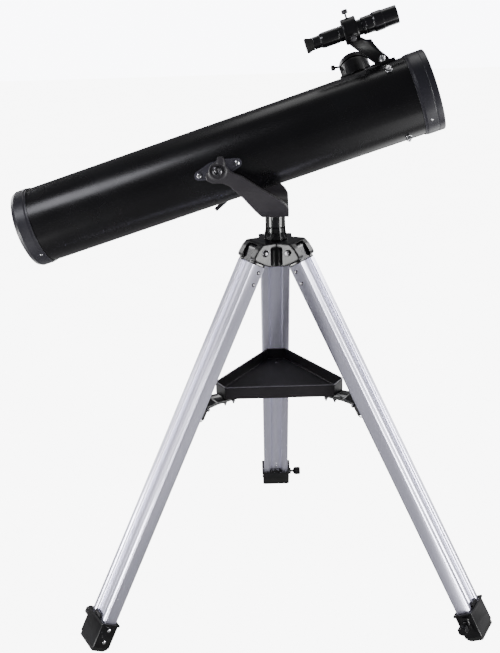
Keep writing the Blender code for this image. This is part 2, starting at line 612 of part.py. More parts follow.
def focuser():
    """Saddle and barrel on the tube, draw tube, cross shaft with knobs, eyepiece."""
    saddle = bevel(box("focuser_base", (-0.0290, -0.0220, 0.0560), (0.0290, 0.0220, 0.0700)), 0.0040, 2)
    barrel = place(lathe("cut_barrel", [(0, 0.0960), (0.0220, 0.0960), (0.0243, 0.0940), (0.0245, 0.0900),
                                        (0.0245, 0.0650), (0, 0.0650)], 28, closed=False), FOCUSER)
    shaft_box = bevel(box("cut_gear_box", (-0.0130, 0.0150, 0.0610), (0.0130, 0.0310, 0.0800)), 0.0020)
    bore = cylinder("cut_focus_bore", 0.0164, 0.0400, 0.1100, 32)
    core = cylinder("cut_core_focus", TUBE_R + GAP, -0.06, 0.06, 48)
    shaft_hole = cylinder("cut_shaft_hole", 0.0028, -0.05, 0.05, 16)
    for ob in (saddle, shaft_box, bore):
        place(ob, FOCUSER)
    place(core, FOCUSER, (0, 0, 0), ALONG_X)
    place(shaft_hole, FOCUSER, (0, SHAFT_Y, SHAFT_Z), ALONG_X)
    join(saddle, barrel, shaft_box)
    coat(cut(saddle, core, bore, shaft_hole), PLASTIC)
    draw = [(0.0235, 0.1035), (0.0245, 0.1025), (0.0245, 0.0965), (0.0160, 0.0965), (0.0160, 0.0560),
            (0.0142, 0.0560), (0.0142, 0.0980), (0.0161, 0.0980), (0.0161, 0.1035)]
    tube = place(lathe("draw_tube", draw, 24), FOCUSER)
    tap = place(cylinder("cut_draw_tap", 0.0019, 0.0120, 0.0300, 14), FOCUSER, (0, 0, 0.1000), (0, -90, EYE_SCREW))
    coat(cut(tube, tap), PLASTIC)
    shaft = place(cylinder("focus_shaft", 0.0025, -0.0400, 0.0400, 16), FOCUSER, (0, SHAFT_Y, SHAFT_Z), ALONG_X)
    coat(shaft, STEEL)
    for name, side in (("front", 90), ("rear", -90)):
        grip = [(0.0060, 0.0440), (0.0082, 0.0430), (0.0090, 0.0410), (0.0090, 0.0340), (0.0078, 0.0320),
                (0.0028, 0.0310), (0.0028, 0.0404), (0.0001, 0.0404), (0.0001, 0.0440)]
        knob = lathe(f"focus_knob_{name}", grip, 20)
        coat(place(knob, FOCUSER, (0, SHAFT_Y, SHAFT_Z), (0, side, 0)), PLASTIC)
    eye = [(0, 0.1062), (0.0070, 0.1062), (0.0105, 0.1100), (0.0170, 0.1096), (0.0212, 0.1078), (0.0234, 0.1052),
           (0.0236, 0.1040), (0.0158, 0.1040), (0.0158, 0.0986), (0.0135, 0.0983), (0.0135, 0.0800), (0, 0.0800)]
    coat(place(lathe("eyepiece", eye, 24, closed=False), FOCUSER), RUBBER)
    head = [(0, 0.0378), (0.0040, 0.0378), (0.0045, 0.0371), (0.0045, 0.0330), (0.0036, 0.0320),
            (0.0016, 0.0315), (0.0016, 0.0162), (0, 0.0162)]
    screw = lathe("eyepiece_thumbscrew", head, 16, closed=False)
    coat(place(screw, FOCUSER, (0, 0, 0.1000), (0, -90, EYE_SCREW)), STEEL)


# ---- finder ----
def finder_bracket():
    """Foot on the tube, leaning stalk, and the ring that the three screws pass through."""
    stalk = [(0.2490, 0.1130), (0.2840, 0.0635), (0.3060, 0.0635), (0.3040, 0.0700), (0.2950, 0.0830),
             (0.2890, 0.0960), (0.2870, 0.1040), (0.2790, 0.1060), (0.2720, 0.1130)]
    body = bevel(plate("finder_bracket", [stalk], -0.0060, 0.0060), 0.0012, 1, 35)
    place(body, FINDER, (0, 0, 0), SIDE_XZ)
    foot = box("cut_finder_foot", (0.2630, -0.0130, 0.0580), (0.3125, 0.0130, 0.0660), 0.0012)
    place(foot, FINDER)
    ring = lathe("cut_finder_ring", [(0.0195, 0.2720), (0.0200, 0.2700), (0.0200, 0.2510), (0.0195, 0.2490),
                                     (0.0160, 0.2490), (0.0160, 0.2720)], 28)
    place(ring, FINDER, (0, 0, FINDER_R), ALONG_X)
    inside = cylinder("cut_finder_inside", 0.0162, 0.2400, 0.2900, 28)
    place(inside, FINDER, (0, 0, FINDER_R), ALONG_X)
    core = cylinder("cut_core_finder", TUBE_R + GAP, 0.2400, 0.3400, 48)
    place(core, FINDER, (0, 0, 0), ALONG_X)
    bores = []
    for i, turn in enumerate((0, 120, 240)):
        bore = cylinder(f"cut_finder_bore_{i}", 0.0020, 0.0130, 0.0300, 14)
        bores.append(place(bore, FINDER, (0.2600, 0, FINDER_R), (turn, 0, 0)))
    cut(foot, core)
    cut(ring, *bores)
    coat(join(cut(body, inside), foot, ring), PLASTIC)
    head = [(0, 0.0330), (0.0042, 0.0330), (0.0048, 0.0322), (0.0048, 0.0275), (0.0040, 0.0268),
            (0.0017, 0.0264), (0.0017, 0.0126), (0, 0.0126)]
    for i, turn in enumerate((0, 120, 240)):
        screw = lathe(f"finder_screw_{i + 1}", head, 14, closed=False)
        coat(place(screw, FINDER, (0.2600, 0, FINDER_R), (turn, 0, 0)), STEEL)


def finder():
    a, b = FINDER_REAR, FINDER_FRONT
    barrel = [(0, b - 0.0400), (0.0138, b - 0.0400), (0.0138, 0.2800), (0.0122, 0.2790), (0.0122, 0.2160), (0.0112, 0.2120), (0.0102, 0.2110),
              (0.0098, 0.2060), (0.0100, 0.2000), (0, 0.2000)]
    pieces = [("finder_barrel", barrel, False, PLASTIC)]
    cup = [(0.0085, a), (0.0118, a + 0.0010), (0.0118, a + 0.0040), (0.0100, a + 0.0090),
           (0.0100, a + 0.0132), (0.0048, a + 0.0132), (0.0050, a + 0.0050)]
    # profiles run from +X to -X down the outer side
    pieces.append(("finder_eyecup", [cup[4], cup[3], cup[2], cup[1], cup[0], cup[6], cup[5]], True, RUBBER))
    hood = [(0.0142, b), (0.0145, b - 0.0230), (0.0154, b - 0.0240), (0.0154, b - 0.0370), (0.0142, b - 0.0397),
            (0.0040, b - 0.0397), (0.0040, b - 0.0300), (0.0125, b - 0.0280), (0.0130, b)]
    pieces.append(("finder_hood", hood, True, PLASTIC))
    lens = [(0, b - 0.0235), (0.0080, b - 0.0240), (0.0122, b - 0.0250), (0.0122, b - 0.0276), (0, b - 0.0276)]
    pieces.append(("finder_lens", lens, False, GLASS))
    for name, shape, closed, look in pieces:
        coat(place(lathe(name, shape, 24, closed), FINDER, (0, 0, FINDER_R), ALONG_X), look)


for leg_key, leg_azimuth in LEGS.items():
    stand_leg(leg_key, leg_azimuth)
hub()
post()
tray()
fork()
trunnions()
pivots()
slow_motion()
main_tube()
end_rings()
mirrors()
focuser()
finder_bracket()
finder()
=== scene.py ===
"""Looks for a newtonian reflector on a fork mount and a three-legged aluminium stand.

Every CAD node gets a finer piece with rounded edges and a procedural finish, in the CAD's
own frames, plus the small fasteners that the CAD leaves out.
"""

import json
import math

import bmesh
import bpy
from mathutils import Matrix, Vector


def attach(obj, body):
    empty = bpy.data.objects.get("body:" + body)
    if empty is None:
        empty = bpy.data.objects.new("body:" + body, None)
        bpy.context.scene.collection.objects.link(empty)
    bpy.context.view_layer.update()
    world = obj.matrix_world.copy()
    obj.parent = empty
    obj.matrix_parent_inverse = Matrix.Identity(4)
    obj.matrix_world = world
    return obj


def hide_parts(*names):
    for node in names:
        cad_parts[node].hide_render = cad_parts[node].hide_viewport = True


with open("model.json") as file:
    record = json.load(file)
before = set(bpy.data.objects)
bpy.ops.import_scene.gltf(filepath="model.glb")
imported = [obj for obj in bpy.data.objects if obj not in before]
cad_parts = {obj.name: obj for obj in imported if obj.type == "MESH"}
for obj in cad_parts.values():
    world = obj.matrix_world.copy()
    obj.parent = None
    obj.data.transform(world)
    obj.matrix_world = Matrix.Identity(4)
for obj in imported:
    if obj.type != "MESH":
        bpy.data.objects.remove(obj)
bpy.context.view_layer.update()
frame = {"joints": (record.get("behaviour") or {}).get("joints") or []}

JOINT = {joint["name"]: joint for joint in frame["joints"]}


# ---- frames, from the record's joints ----
def spin(degrees, along):
    return Matrix.Rotation(math.radians(degrees), 4, along)


def shift(x, y, z):
    return Matrix.Translation((x, y, z))


YOKE_TURN, TILT = -2.0, 17.6
LEGS = {"a": 90, "b": 210, "c": 330}
GAP, CRADLE_R = 0.0003, 0.0628
LEAN, HINGE_R, HINGE_Z = 28.37, 0.037, 0.633
PIVOT_X, PIVOT_Z = -0.087, 0.775
SWIVEL_X, SWIVEL_Z, ROD_TOP_X, ROD_Y = -0.04, 0.7345, 0.156, 0.093
FOCUS_X, FOCUS_TURN, FINDER_TURN, SIGHT_H = 0.253, -45, -8, 0.127

axis_x, axis_y, _ = JOINT["azimuth"]["pos_m"]
GROUND = shift(axis_x, axis_y, 0)
AZIMUTH = GROUND @ spin(YOKE_TURN, "Z")
ALTITUDE = shift(*JOINT["altitude"]["pos_m"]) @ spin(YOKE_TURN, "Z") @ spin(-TILT, "Y")
FOCUSER = ALTITUDE @ shift(FOCUS_X, 0, 0) @ spin(FOCUS_TURN, "X")
FINDER = ALTITUDE @ spin(FINDER_TURN, "X")
SIGHT = FINDER @ shift(0, 0, SIGHT_H)
ALONG_X, ALONG_Y = spin(90, "Y"), spin(-90, "X")
SIDE_YZ, SIDE_XZ = spin(90, "Z") @ spin(90, "X"), spin(90, "X")
NO_TURN = Matrix.Identity(4)
TUBE_AXIS = ALTITUDE @ ALONG_X

rod_rise = PIVOT_Z + ROD_TOP_X * math.sin(math.radians(TILT)) - SWIVEL_Z
rod_run = PIVOT_X + ROD_TOP_X * math.cos(math.radians(TILT)) - SWIVEL_X
ROD_SLOPE = math.degrees(math.atan2(rod_rise, rod_run))
ROD = ALTITUDE @ shift(ROD_TOP_X, ROD_Y, 0) @ spin(TILT - ROD_SLOPE, "Y")
SWIVEL = AZIMUTH @ shift(SWIVEL_X, 0, SWIVEL_Z) @ spin(-ROD_SLOPE, "Y")


def upright(azimuth):
    """Local X away from the stand's axis, Y up."""
    return GROUND @ spin(azimuth, "Z") @ spin(90, "X")


def leg_frame(azimuth):
    """Local X across the leg, Y outward, Z down the leg from its hinge."""
    tip = spin(180 + LEAN, "X") @ spin(180, "Z")
    return GROUND @ spin(azimuth - 90, "Z") @ shift(0, HINGE_R, HINGE_Z) @ tip


# ---- materials ----
def link_noise(tree, vector, scale, detail=2.0):
    noise = tree.nodes.new("ShaderNodeTexNoise")
    noise.inputs["Scale"].default_value = scale
    noise.inputs["Detail"].default_value = detail
    noise.inputs["Roughness"].default_value = 0.55
    tree.links.new(vector, noise.inputs["Vector"])
    return noise.outputs["Fac"]


def reckon(tree, operation, *values):
    """A sum on sockets and plain numbers."""
    node = tree.nodes.new("ShaderNodeMath")
    node.operation = operation
    for socket, value in zip(node.inputs, values):
        if isinstance(value, float):
            socket.default_value = value
        else:
            tree.links.new(value, socket)
    return node.outputs[0]


def spread(tree, value, low, high, start=0.3, stop=0.7):
    """Map a value between start and stop onto a range."""
    node = tree.nodes.new("ShaderNodeMapRange")
    for key, number in (("From Min", start), ("From Max", stop), ("To Min", low), ("To Max", high)):
        node.inputs[key].default_value = number
    tree.links.new(value, node.inputs["Value"])
    return node.outputs["Result"]


def blend_colours(tree, factor, first, second):
    node = tree.nodes.new("ShaderNodeMix")
    node.data_type = "RGBA"
    node.inputs["A"].default_value = (*first, 1)
    node.inputs["B"].default_value = (*second, 1)
    tree.links.new(factor, node.inputs["Factor"])
    return node.outputs["Result"]


def look(name, dark, light, rough, metal=0.0, blotch=18.0, grain=1500.0, along=1.0, relief=0.00001,
         swing=0.07, coat=0.0, coat_rough=0.1, shine=0.5):
    """A surface with slow tone changes, fine grain in tone and relief, and uneven gloss.

    along stretches the grain along local Z; relief is its height in metres.
    """
    mat = bpy.data.materials.new(name)
    mat.use_nodes = True
    tree = mat.node_tree
    shader = tree.nodes["Principled BSDF"]
    place = tree.nodes.new("ShaderNodeAttribute")
    place.attribute_name = "local"
    stretch = tree.nodes.new("ShaderNodeMapping")
    stretch.inputs["Scale"].default_value = (1, 1, 1 / along)
    tree.links.new(place.outputs["Vector"], stretch.inputs["Vector"])
    slow = link_noise(tree, stretch.outputs["Vector"], blotch, 3.0)
    fine = link_noise(tree, stretch.outputs["Vector"], grain)
    both = reckon(tree, "MULTIPLY_ADD", fine, 0.5, reckon(tree, "MULTIPLY", slow, 0.5))
    tone = spread(tree, both, 0, 1, 0.34, 0.66)
    tree.links.new(blend_colours(tree, tone, dark, light), shader.inputs["Base Color"])
    gloss = spread(tree, slow, rough - swing / 2, rough + swing / 2)
    tree.links.new(gloss, shader.inputs["Roughness"])
    bump = tree.nodes.new("ShaderNodeBump")
    bump.inputs["Strength"].default_value = 1.0
    bump.inputs["Distance"].default_value = relief
    tree.links.new(fine, bump.inputs["Height"])
    tree.links.new(bump.outputs["Normal"], shader.inputs["Normal"])
    shader.inputs["Metallic"].default_value = metal
    shader.inputs["Specular IOR Level"].default_value = shine
    shader.inputs["Coat Weight"].default_value = coat
    shader.inputs["Coat Roughness"].default_value = coat_rough
    return mat


def lens_look():
    """Dark glass with a coating that shifts from violet to green towards its edge."""
    mat = look("coated_glass", (0.01, 0.014, 0.03), (0.018, 0.024, 0.045), 0.04, swing=0.02, relief=0.0000005,
               coat=1.0, coat_rough=0.02)
    tree = mat.node_tree
    shader = tree.nodes["Principled BSDF"]
    rim = tree.nodes.new("ShaderNodeLayerWeight")
    rim.inputs["Blend"].default_value = 0.4
    tint = blend_colours(tree, rim.outputs["Facing"], (0.03, 0.012, 0.06), (0.01, 0.06, 0.04))
    tree.links.new(tint, shader.inputs["Base Color"])
    return mat


PAINT = look("tube_paint", (0.0016, 0.0015, 0.002), (0.0028, 0.0026, 0.0034), 0.27, blotch=9, grain=520,
             relief=0.000004, shine=0.4)
INSIDE = look("tube_inside", (0.002, 0.002, 0.002), (0.004, 0.004, 0.004), 0.85, grain=900, relief=0.00004,
              shine=0.2)
PLASTIC = look("black_plastic", (0.003, 0.0028, 0.0034), (0.0056, 0.0053, 0.0063), 0.32, grain=1900,
               shine=0.32)
GLOSSY = look("glossy_plastic", (0.0024, 0.0023, 0.003), (0.0042, 0.004, 0.0052), 0.2, grain=1300,
              relief=0.000004, shine=0.6)
# Black plastic with its colour raised about tenfold: a painted sheen for the trunnion plates.
SHEEN_PLASTIC = look("sheen_painted_plastic", (0.03, 0.029, 0.04), (0.045, 0.043, 0.056), 0.26, grain=1500, shine=0.8)
RING = look("ring_plastic", (0.008, 0.0076, 0.0115), (0.013, 0.0122, 0.0175), 0.36, grain=1900)
FORK = look("fork_coat", (0.014, 0.0124, 0.0152), (0.02, 0.0178, 0.0214), 0.46, grain=2400, relief=0.000016)
TRAY = look("tray_coat", (0.008, 0.007, 0.0084), (0.013, 0.0115, 0.0134), 0.5, grain=2200, relief=0.00003,
            shine=0.22)
# A lighter grey metal for the tray's top bead: its raised colour paints a highlight along the tray's edge.
RIM = look("rim_painted_highlight", (0.09, 0.086, 0.098), (0.15, 0.145, 0.16), 0.3, grain=2200, metal=0.6)
METAL = look("anodised_aluminium", (0.76, 0.75, 0.9), (0.85, 0.845, 0.98), 0.38, metal=0.92, blotch=60,
             grain=2600, along=90.0, relief=0.000004, swing=0.08)
CHROME = look("bright_steel", (0.62, 0.62, 0.63), (0.83, 0.83, 0.84), 0.16, metal=1.0, blotch=150,
              grain=3000, relief=0.000002, swing=0.1)
BLACKENED = look("blackened_steel", (0.06, 0.058, 0.062), (0.13, 0.128, 0.135), 0.28, metal=1.0, blotch=120,
                 grain=3000, relief=0.000003, swing=0.12)
RUBBER = look("rubber", (0.004, 0.0039, 0.0041), (0.0085, 0.0083, 0.0087), 0.75, grain=1700, relief=0.00003,
              shine=0.35)
SILVER = look("mirror_coat", (0.86, 0.87, 0.885), (0.91, 0.92, 0.93), 0.03, metal=1.0, blotch=25,
              grain=800, relief=0.0000004, swing=0.03)
GLASS = lens_look()


# ---- outlines ----
def rounded(points, radius, steps, closed=True):
    """The outline with each corner turned into an arc of about this radius."""
    count = len(points)
    out = []
    for i, point in enumerate(points):
        here = Vector(point)
        if not closed and i in (0, count - 1):
            out.append(tuple(here))
            continue
        back, ahead = Vector(points[i - 1]) - here, Vector(points[(i + 1) % count]) - here
        turn = math.pi - back.angle(ahead) if min(back.length, ahead.length) > 1e-9 else 0.0
        if turn < math.radians(12):
            out.append(tuple(here))
            continue
        reach = min(radius * math.tan(turn / 2), 0.45 * back.length, 0.45 * ahead.length)
        first, last = here + back.normalized() * reach, here + ahead.normalized() * reach
        for k in range(steps + 1):
            t = k / steps
            out.append(tuple(first * (1 - t) ** 2 + here * 2 * t * (1 - t) + last * t * t))
    return out


def arc(cx, cy, radius, start, end, count):
    turn = [math.radians(start + (end - start) * i / (count - 1)) for i in range(count)]
    return [(cx + radius * math.cos(a), cy + radius * math.sin(a)) for a in turn]


def oblong(w, t):
    return [(w, t), (w, -t), (-w, -t), (-w, t)]


def polar(radius, degrees):
    return radius * math.cos(math.radians(degrees)), radius * math.sin(math.radians(degrees))


# ---- solids ----
def solid(name, bm, matrix):
    mesh = bpy.data.meshes.new(name)
    bmesh.ops.recalc_face_normals(bm, faces=bm.faces)
    bm.to_mesh(mesh)
    bm.free()
    ob = bpy.data.objects.new(name, mesh)
    bpy.context.scene.collection.objects.link(ob)
    ob.matrix_world = matrix
    return ob


def lathe(name, profile, matrix, steps, closed=True, flutes=None):
    """Turn an (r, z) profile about local Z; flutes = (count, depth, low z, high z) cuts a grip."""
    bm = bmesh.new()
    rings = []
    for r, z in profile:
        if r < 1e-6:
            rings.append([bm.verts.new((0, 0, z))])
            continue
        ring = []
        for k in range(steps):
            a = 2 * math.pi * k / steps
            grown = r
            if flutes and flutes[2] <= z <= flutes[3]:
                grown -= flutes[1] * (0.5 - 0.5 * math.cos(flutes[0] * a)) ** 2
            ring.append(bm.verts.new((grown * math.cos(a), grown * math.sin(a), z)))
        rings.append(ring)
    pairs = list(zip(rings, rings[1:])) + ([(rings[-1], rings[0])] if closed else [])
    for one, two in pairs:
        if len(one) == len(two) == 1:
            continue
        for k in range(steps):
            corners = [one[k % len(one)], one[(k + 1) % len(one)], two[(k + 1) % len(two)], two[k % len(two)]]
            bm.faces.new(list(dict.fromkeys(corners)))
    return solid(name, bm, matrix)


def turned(name, profile, matrix, radius, steps, flutes=None):
    """A lathe with rounded corners, from an open profile that starts and ends on the axis."""
    return lathe(name, rounded(profile, radius, 3, False), matrix, steps, False, flutes)


def pin_profile(radius, start, end):
    return [(0, start), (radius, start), (radius, end), (0, end)]


def drill(name, radius, low, high, matrix, steps):
    """A plain cutter for a round hole along local Z."""
    return lathe(name, pin_profile(radius, low, high), matrix, steps, False)


def prism(name, outline, low, high, matrix):
    """An outline in local XY raised from low to high."""
    bm = bmesh.new()
    ends = [[bm.verts.new((x, y, z)) for x, y in outline] for z in (low, high)]
    count = len(outline)
    for k in range(count):
        bm.faces.new([ends[0][k], ends[0][(k + 1) % count], ends[1][(k + 1) % count], ends[1][k]])
    bm.faces.new(ends[0])
    bm.faces.new(ends[1])
    return solid(name, bm, matrix)


def block(name, low, high, matrix):
    (a, b, c), (d, e, f) = low, high
    return prism(name, [(a, b), (d, b), (d, e), (a, e)], c, f, matrix)


def edge_round(ob, width, segments, angle=35):
    mod = ob.modifiers.new("round", "BEVEL")
    mod.width = width
    mod.segments = segments
    mod.limit_method = "ANGLE"
    mod.angle_limit = math.radians(angle)
    return ob


def shaped(ob, plus=(), minus=(), common=()):
    """Join, intersect and cut, then drop the helpers."""
    for operation, others in (("UNION", plus), ("INTERSECT", common), ("DIFFERENCE", minus)):
        for other in others:
            mod = ob.modifiers.new(other.name, "BOOLEAN")
            mod.operation, mod.solver, mod.object = operation, "EXACT", other
    apply_all(ob)
    for other in (*plus, *minus, *common):
        bpy.data.objects.remove(other, do_unlink=True)
    return ob


def apply_all(ob):
    graph = bpy.context.evaluated_depsgraph_get()
    mesh = bpy.data.meshes.new_from_object(ob.evaluated_get(graph), depsgraph=graph)
    ob.modifiers.clear()
    ob.data = mesh
    return ob


def moulded(ob, voxel, passes, strength=0.5):
    """Melt the corners of a joined shape, as a moulding's fillets do."""
    mesh_again = ob.modifiers.new("even", "REMESH")
    mesh_again.mode = "VOXEL"
    mesh_again.voxel_size = voxel
    soften = ob.modifiers.new("soften", "SMOOTH")
    soften.factor = strength
    soften.iterations = passes
    return apply_all(ob)


def settle(ob, mat, body, *nodes, sharp=35, flat=True):
    """Apply what is left, keep local coordinates for the finish, and ride on the body."""
    ob.data.shade_smooth()
    if flat:
        even = ob.modifiers.new("even_normals", "WEIGHTED_NORMAL")
        even.keep_sharp = True
    apply_all(ob)
    mesh = ob.data
    mesh.shade_smooth()
    mesh.set_sharp_from_angle(angle=math.radians(sharp))
    local = mesh.attributes.new("local", "FLOAT_VECTOR", "POINT")
    local.data.foreach_set("vector", [c for v in mesh.vertices for c in v.co])
    mesh.transform(ob.matrix_world)
    ob.matrix_world = NO_TURN
    if mat is not None:
        mesh.materials.clear()
        mesh.materials.append(mat)
    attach(ob, body)
    if nodes:
        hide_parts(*nodes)
    return ob


def gathered(name, parts, mat, body, *nodes, sharp=35):
    """Several small solids as one piece."""
    done = [settle(part, mat, body, sharp=sharp, flat=False) for part in parts]
    for part in done:
        part.parent = None
        part.matrix_world = NO_TURN
    if len(done) > 1:
        with bpy.context.temp_override(active_object=done[0], selected_editable_objects=done,
                                       selected_objects=done):
            bpy.ops.object.join()
    ob = done[0]
    ob.name = name
    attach(ob, body)
    if nodes:
        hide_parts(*nodes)
    return ob


# ---- fasteners, local Z out of the surface ----
def dome(name, matrix, radius, height, collar=0.0):
    profile = [(0, height), (radius * 0.55, height * 0.86), (radius * 0.9, height * 0.42), (radius, 0)]
    if collar:
        profile += [(radius * collar, 0), (radius * collar, -0.0004)]
    profile += [(profile[-1][0], -0.0012), (0, -0.0012)]
    return turned(name, profile, matrix, 0.0006, 28)


def cross_screw(name, matrix, radius, height):
    head = dome(name, matrix, radius, height)
    w, r = radius * 0.13, radius * 0.62
    cuts = [block(name + "_x", (-r, -w, height * 0.35), (r, w, height * 2), matrix),
            block(name + "_y", (-w, -r, height * 0.35), (w, r, height * 2), matrix)]
    return shaped(head, minus=cuts)


def hex_nut(name, matrix, across, height, stud):
    outline = arc(0, 0, across / math.sqrt(3), 0, 300, 6)
    nut = edge_round(prism(name, outline, -0.0008, height, matrix), across * 0.045, 2, 50)
    pin = turned(name + "_pin", pin_profile(across * 0.28, height + stud, 0), matrix, 0.0004, 20)
    return shaped(apply_all(nut), plus=[pin])


def on_tube(x, angle, radius):
    """A frame on the tube's wall: angle from the tube's top towards the near side."""
    return ALTITUDE @ shift(x, 0, 0) @ spin(angle, "X") @ shift(0, 0, radius)


# ---- stand ----
LEG_W, LEG_T, LEG_WALL = 0.052, 0.024, 0.0016
CHANNEL_W, CHANNEL_D = 0.025, 0.0025
LEG_TOP, LEG_END = 0.023, 0.695
INNER_W, INNER_T, INNER_TOP = 0.043, 0.0144, 0.1
SHOE_TOP, SHOE_END, PAD_END = 0.666, 0.7095, 0.7165
SHOE_W, SHOE_T, SCREW_S = 0.058, 0.031, 0.683


def leg_outline(grow, grooves=False):
    """Flat faces with a sunk channel front and back, and bowed flanks."""
    half_t, floor_t = LEG_T / 2 + grow, LEG_T / 2 - CHANNEL_D + grow
    lip = CHANNEL_W / 2 - grow
    flank = [(LEG_W / 2 - 0.0025 + (0.0025 + grow) * math.cos(math.radians(a)),
              half_t * math.sin(math.radians(a))) for a in range(90, -91, -12)]
    dip = [(lip - 0.0026, floor_t), (lip - 0.0019, floor_t - 0.0007),
           (lip - 0.0012, floor_t)] if grooves else []
    right = [*dip, (lip, floor_t), (lip, half_t), *flank, (lip, -half_t), (lip, -floor_t),
             *[(x, -y) for x, y in reversed(dip)]]
    left = [(-x, y) for x, y in reversed(right)]
    return right + left


def leg_tubes(key, at):
    skin = rounded(leg_outline(0, True), 0.0007, 3)
    outer = prism(f"leg_{key}_extrusion", skin, LEG_TOP, LEG_END, at)
    bore = prism(f"x_bore_{key}", leg_outline(-LEG_WALL), LEG_TOP - 0.01, LEG_END + 0.01, at)
    settle(shaped(outer, minus=[bore]), METAL, "stand", f"leg_{key}_outer", sharp=50)
    w, t = INNER_W / 2, INNER_T / 2
    inner = prism(f"leg_{key}_slide", rounded(oblong(w, t), 0.0016, 5), INNER_TOP, SHOE_END - GAP, at)
    w, t = w - 0.0014, t - 0.0014
    hollow = prism(f"x_hollow_{key}", oblong(w, t), INNER_TOP - 0.01, SHOE_END + 0.01, at)
    settle(shaped(inner, minus=[hollow]), METAL, f"leg_{key}_lower", f"leg_{key}_inner", sharp=50)


def leg_top(key, at):
    """Moulded tongue, flange and plug, with two rivets in each flank of the leg."""
    outline = [*arc(0, 0, 0.0108, 180, 360, 17), (0.0108, 0.0215), (-0.0108, 0.0215)]
    tongue = prism(f"leg_{key}_head", outline, -0.0128, 0.0128, at @ SIDE_YZ)
    flange = prism(f"x_flange_{key}", leg_outline(-0.0004), 0.0188, LEG_TOP - GAP / 2, at)
    webs = [prism(f"x_web_{side}_{key}", [(0.012, 0.0205), (0.0245, 0.0205), (0.016, 0.012), (0.012, 0.004)],
                  -0.003, 0.003, at @ (spin(90, "X") if side > 0 else spin(180, "Z") @ spin(90, "X")))
            for side in (1, -1)]
    plug = block(f"x_plug_{key}", (-0.0212, -0.0074, 0.02), (0.0212, 0.0074, 0.062), at)
    pin = drill(f"x_pin_{key}", 0.0034, -0.03, 0.03, at @ ALONG_X, 24)
    head = moulded(shaped(tongue, plus=[flange, plug, *webs]), 0.0006, 3)
    settle(shaped(head, minus=[pin]), GLOSSY, "stand", f"leg_{key}_top_block", sharp=60)
    rivets = []
    for side in (1, -1):
        for i, s in enumerate((0.0336, 0.0546)):
            out = at @ shift(side * (LEG_W / 2 - 0.0002), -0.003, s) @ spin(90 * side, "Y")
            rivets.append(dome(f"x_rivet_{key}_{side}_{i}", out, 0.0032, 0.0017, 1.18))
    gathered(f"leg_{key}_top_rivets", rivets, BLACKENED, "stand")
    parts = [turned(f"x_axle_{key}", pin_profile(0.0029, 0.03, -0.03), at @ ALONG_X, 0.0002, 24),
             dome(f"x_head_{key}", at @ ALONG_X @ shift(0, 0, 0.0285), 0.006, 0.0036, 1.12),
             hex_nut(f"x_nut_{key}", at @ ALONG_X @ spin(180, "X") @ shift(0, 0, 0.0285), 0.0092, 0.0034,
                     0.0009)]
    gathered(f"leg_{key}_hinge_bolt", parts, BLACKENED, "stand", f"leg_{key}_pivot_bolt")


def leg_shoe(key, at):
    w, t = SHOE_W / 2, SHOE_T / 2
    corner = rounded(oblong(w, t), 0.0024, 5)
    shoe = edge_round(prism(f"leg_{key}_clamp_shoe", corner, SHOE_TOP, SHOE_END - GAP, at), 0.0006, 2, 50)
    w, t = w + 0.0016, t + 0.0016
    lip = prism(f"x_lip_{key}", rounded(oblong(w, t), 0.001, 3), SHOE_TOP - 0.001, SHOE_TOP + 0.0028, at)
    tongue = block(f"x_tongue_{key}", (-0.01, -SHOE_T / 2 + 0.0004, SHOE_TOP - 0.0075),
                   (0.01, SHOE_T / 2 - 0.0004, SHOE_TOP + 0.004), at)
    side = at @ shift(0, 0, SCREW_S) @ spin(-90, "Y")
    collar = [(0, 0.0335), (0.0062, 0.0335), (0.0072, 0.028), (0.0072, 0.026), (0, 0.026)]
    boss = turned(f"x_boss_{key}", collar, side, 0.001, 40)
    well = prism(f"x_well_{key}", leg_outline(GAP), SHOE_TOP - 0.02, LEG_END + GAP, at)
    slot = block(f"x_slot_{key}", (-INNER_W / 2 - GAP, -INNER_T / 2 - GAP, LEG_END - 0.02),
                 (INNER_W / 2 + GAP, INNER_T / 2 + GAP, SHOE_END + 0.01), at)
    bore = drill(f"x_tap_{key}", 0.0029, 0.02, 0.04, side, 24)
    for helper in (lip, tongue):
        edge_round(helper, 0.0007, 2, 50)
    settle(shaped(shoe, plus=[lip, tongue, boss], minus=[well, slot, bore]), PLASTIC, "stand",
           f"leg_{key}_shoe")
    rivets = [dome(f"x_shoe_rivet_{key}_{i}", at @ shift(SHOE_W / 2, -0.001, s) @ spin(90, "Y"), 0.003,
                   0.0012, 1.15) for i, s in enumerate((0.6768, 0.6985))]
    rivets += [dome(f"x_face_rivet_{key}_{i}", at @ shift(0, -LEG_T / 2 + CHANNEL_D, s) @ spin(90, "X"),
                    0.0016, 0.0009) for i, s in enumerate((0.64, 0.65))]
    gathered(f"leg_{key}_shoe_rivets", rivets, CHROME, "stand")
    w, t = SHOE_W / 2 - 0.0015, SHOE_T / 2 - 0.0008
    pad = prism(f"leg_{key}_pad", rounded(oblong(w, t), 0.003, 5), SHOE_END, PAD_END, at)
    foot = edge_round(pad, 0.0012, 3, 50)
    plug = block(f"x_foot_plug_{key}", (-INNER_W / 2 + 0.0017, -INNER_T / 2 + 0.0017, 0.69),
                 (INNER_W / 2 - 0.0017, INNER_T / 2 - 0.0017, SHOE_END + 0.002), at)
    soil = block(f"x_soil_{key}", (-1, -1, -0.05), (1, 1, 0.0), GROUND)
    settle(shaped(foot, plus=[plug], minus=[soil]), RUBBER, f"leg_{key}_lower", f"leg_{key}_foot")
    knob = [(0, 0.0538), (0.0064, 0.0538), (0.0084, 0.052), (0.0084, 0.0418), (0.0058, 0.039),
            (0.0024, 0.0378), (0.0024, 0.0268), (0, 0.0268)]
    screw = turned(f"leg_{key}_clamp_knob", knob, side, 0.0012, 96, flutes=(6, 0.0019, 0.04, 0.053))
    settle(screw, PLASTIC, f"leg_{key}_clamp", f"leg_{key}_thumbscrew", flat=False)


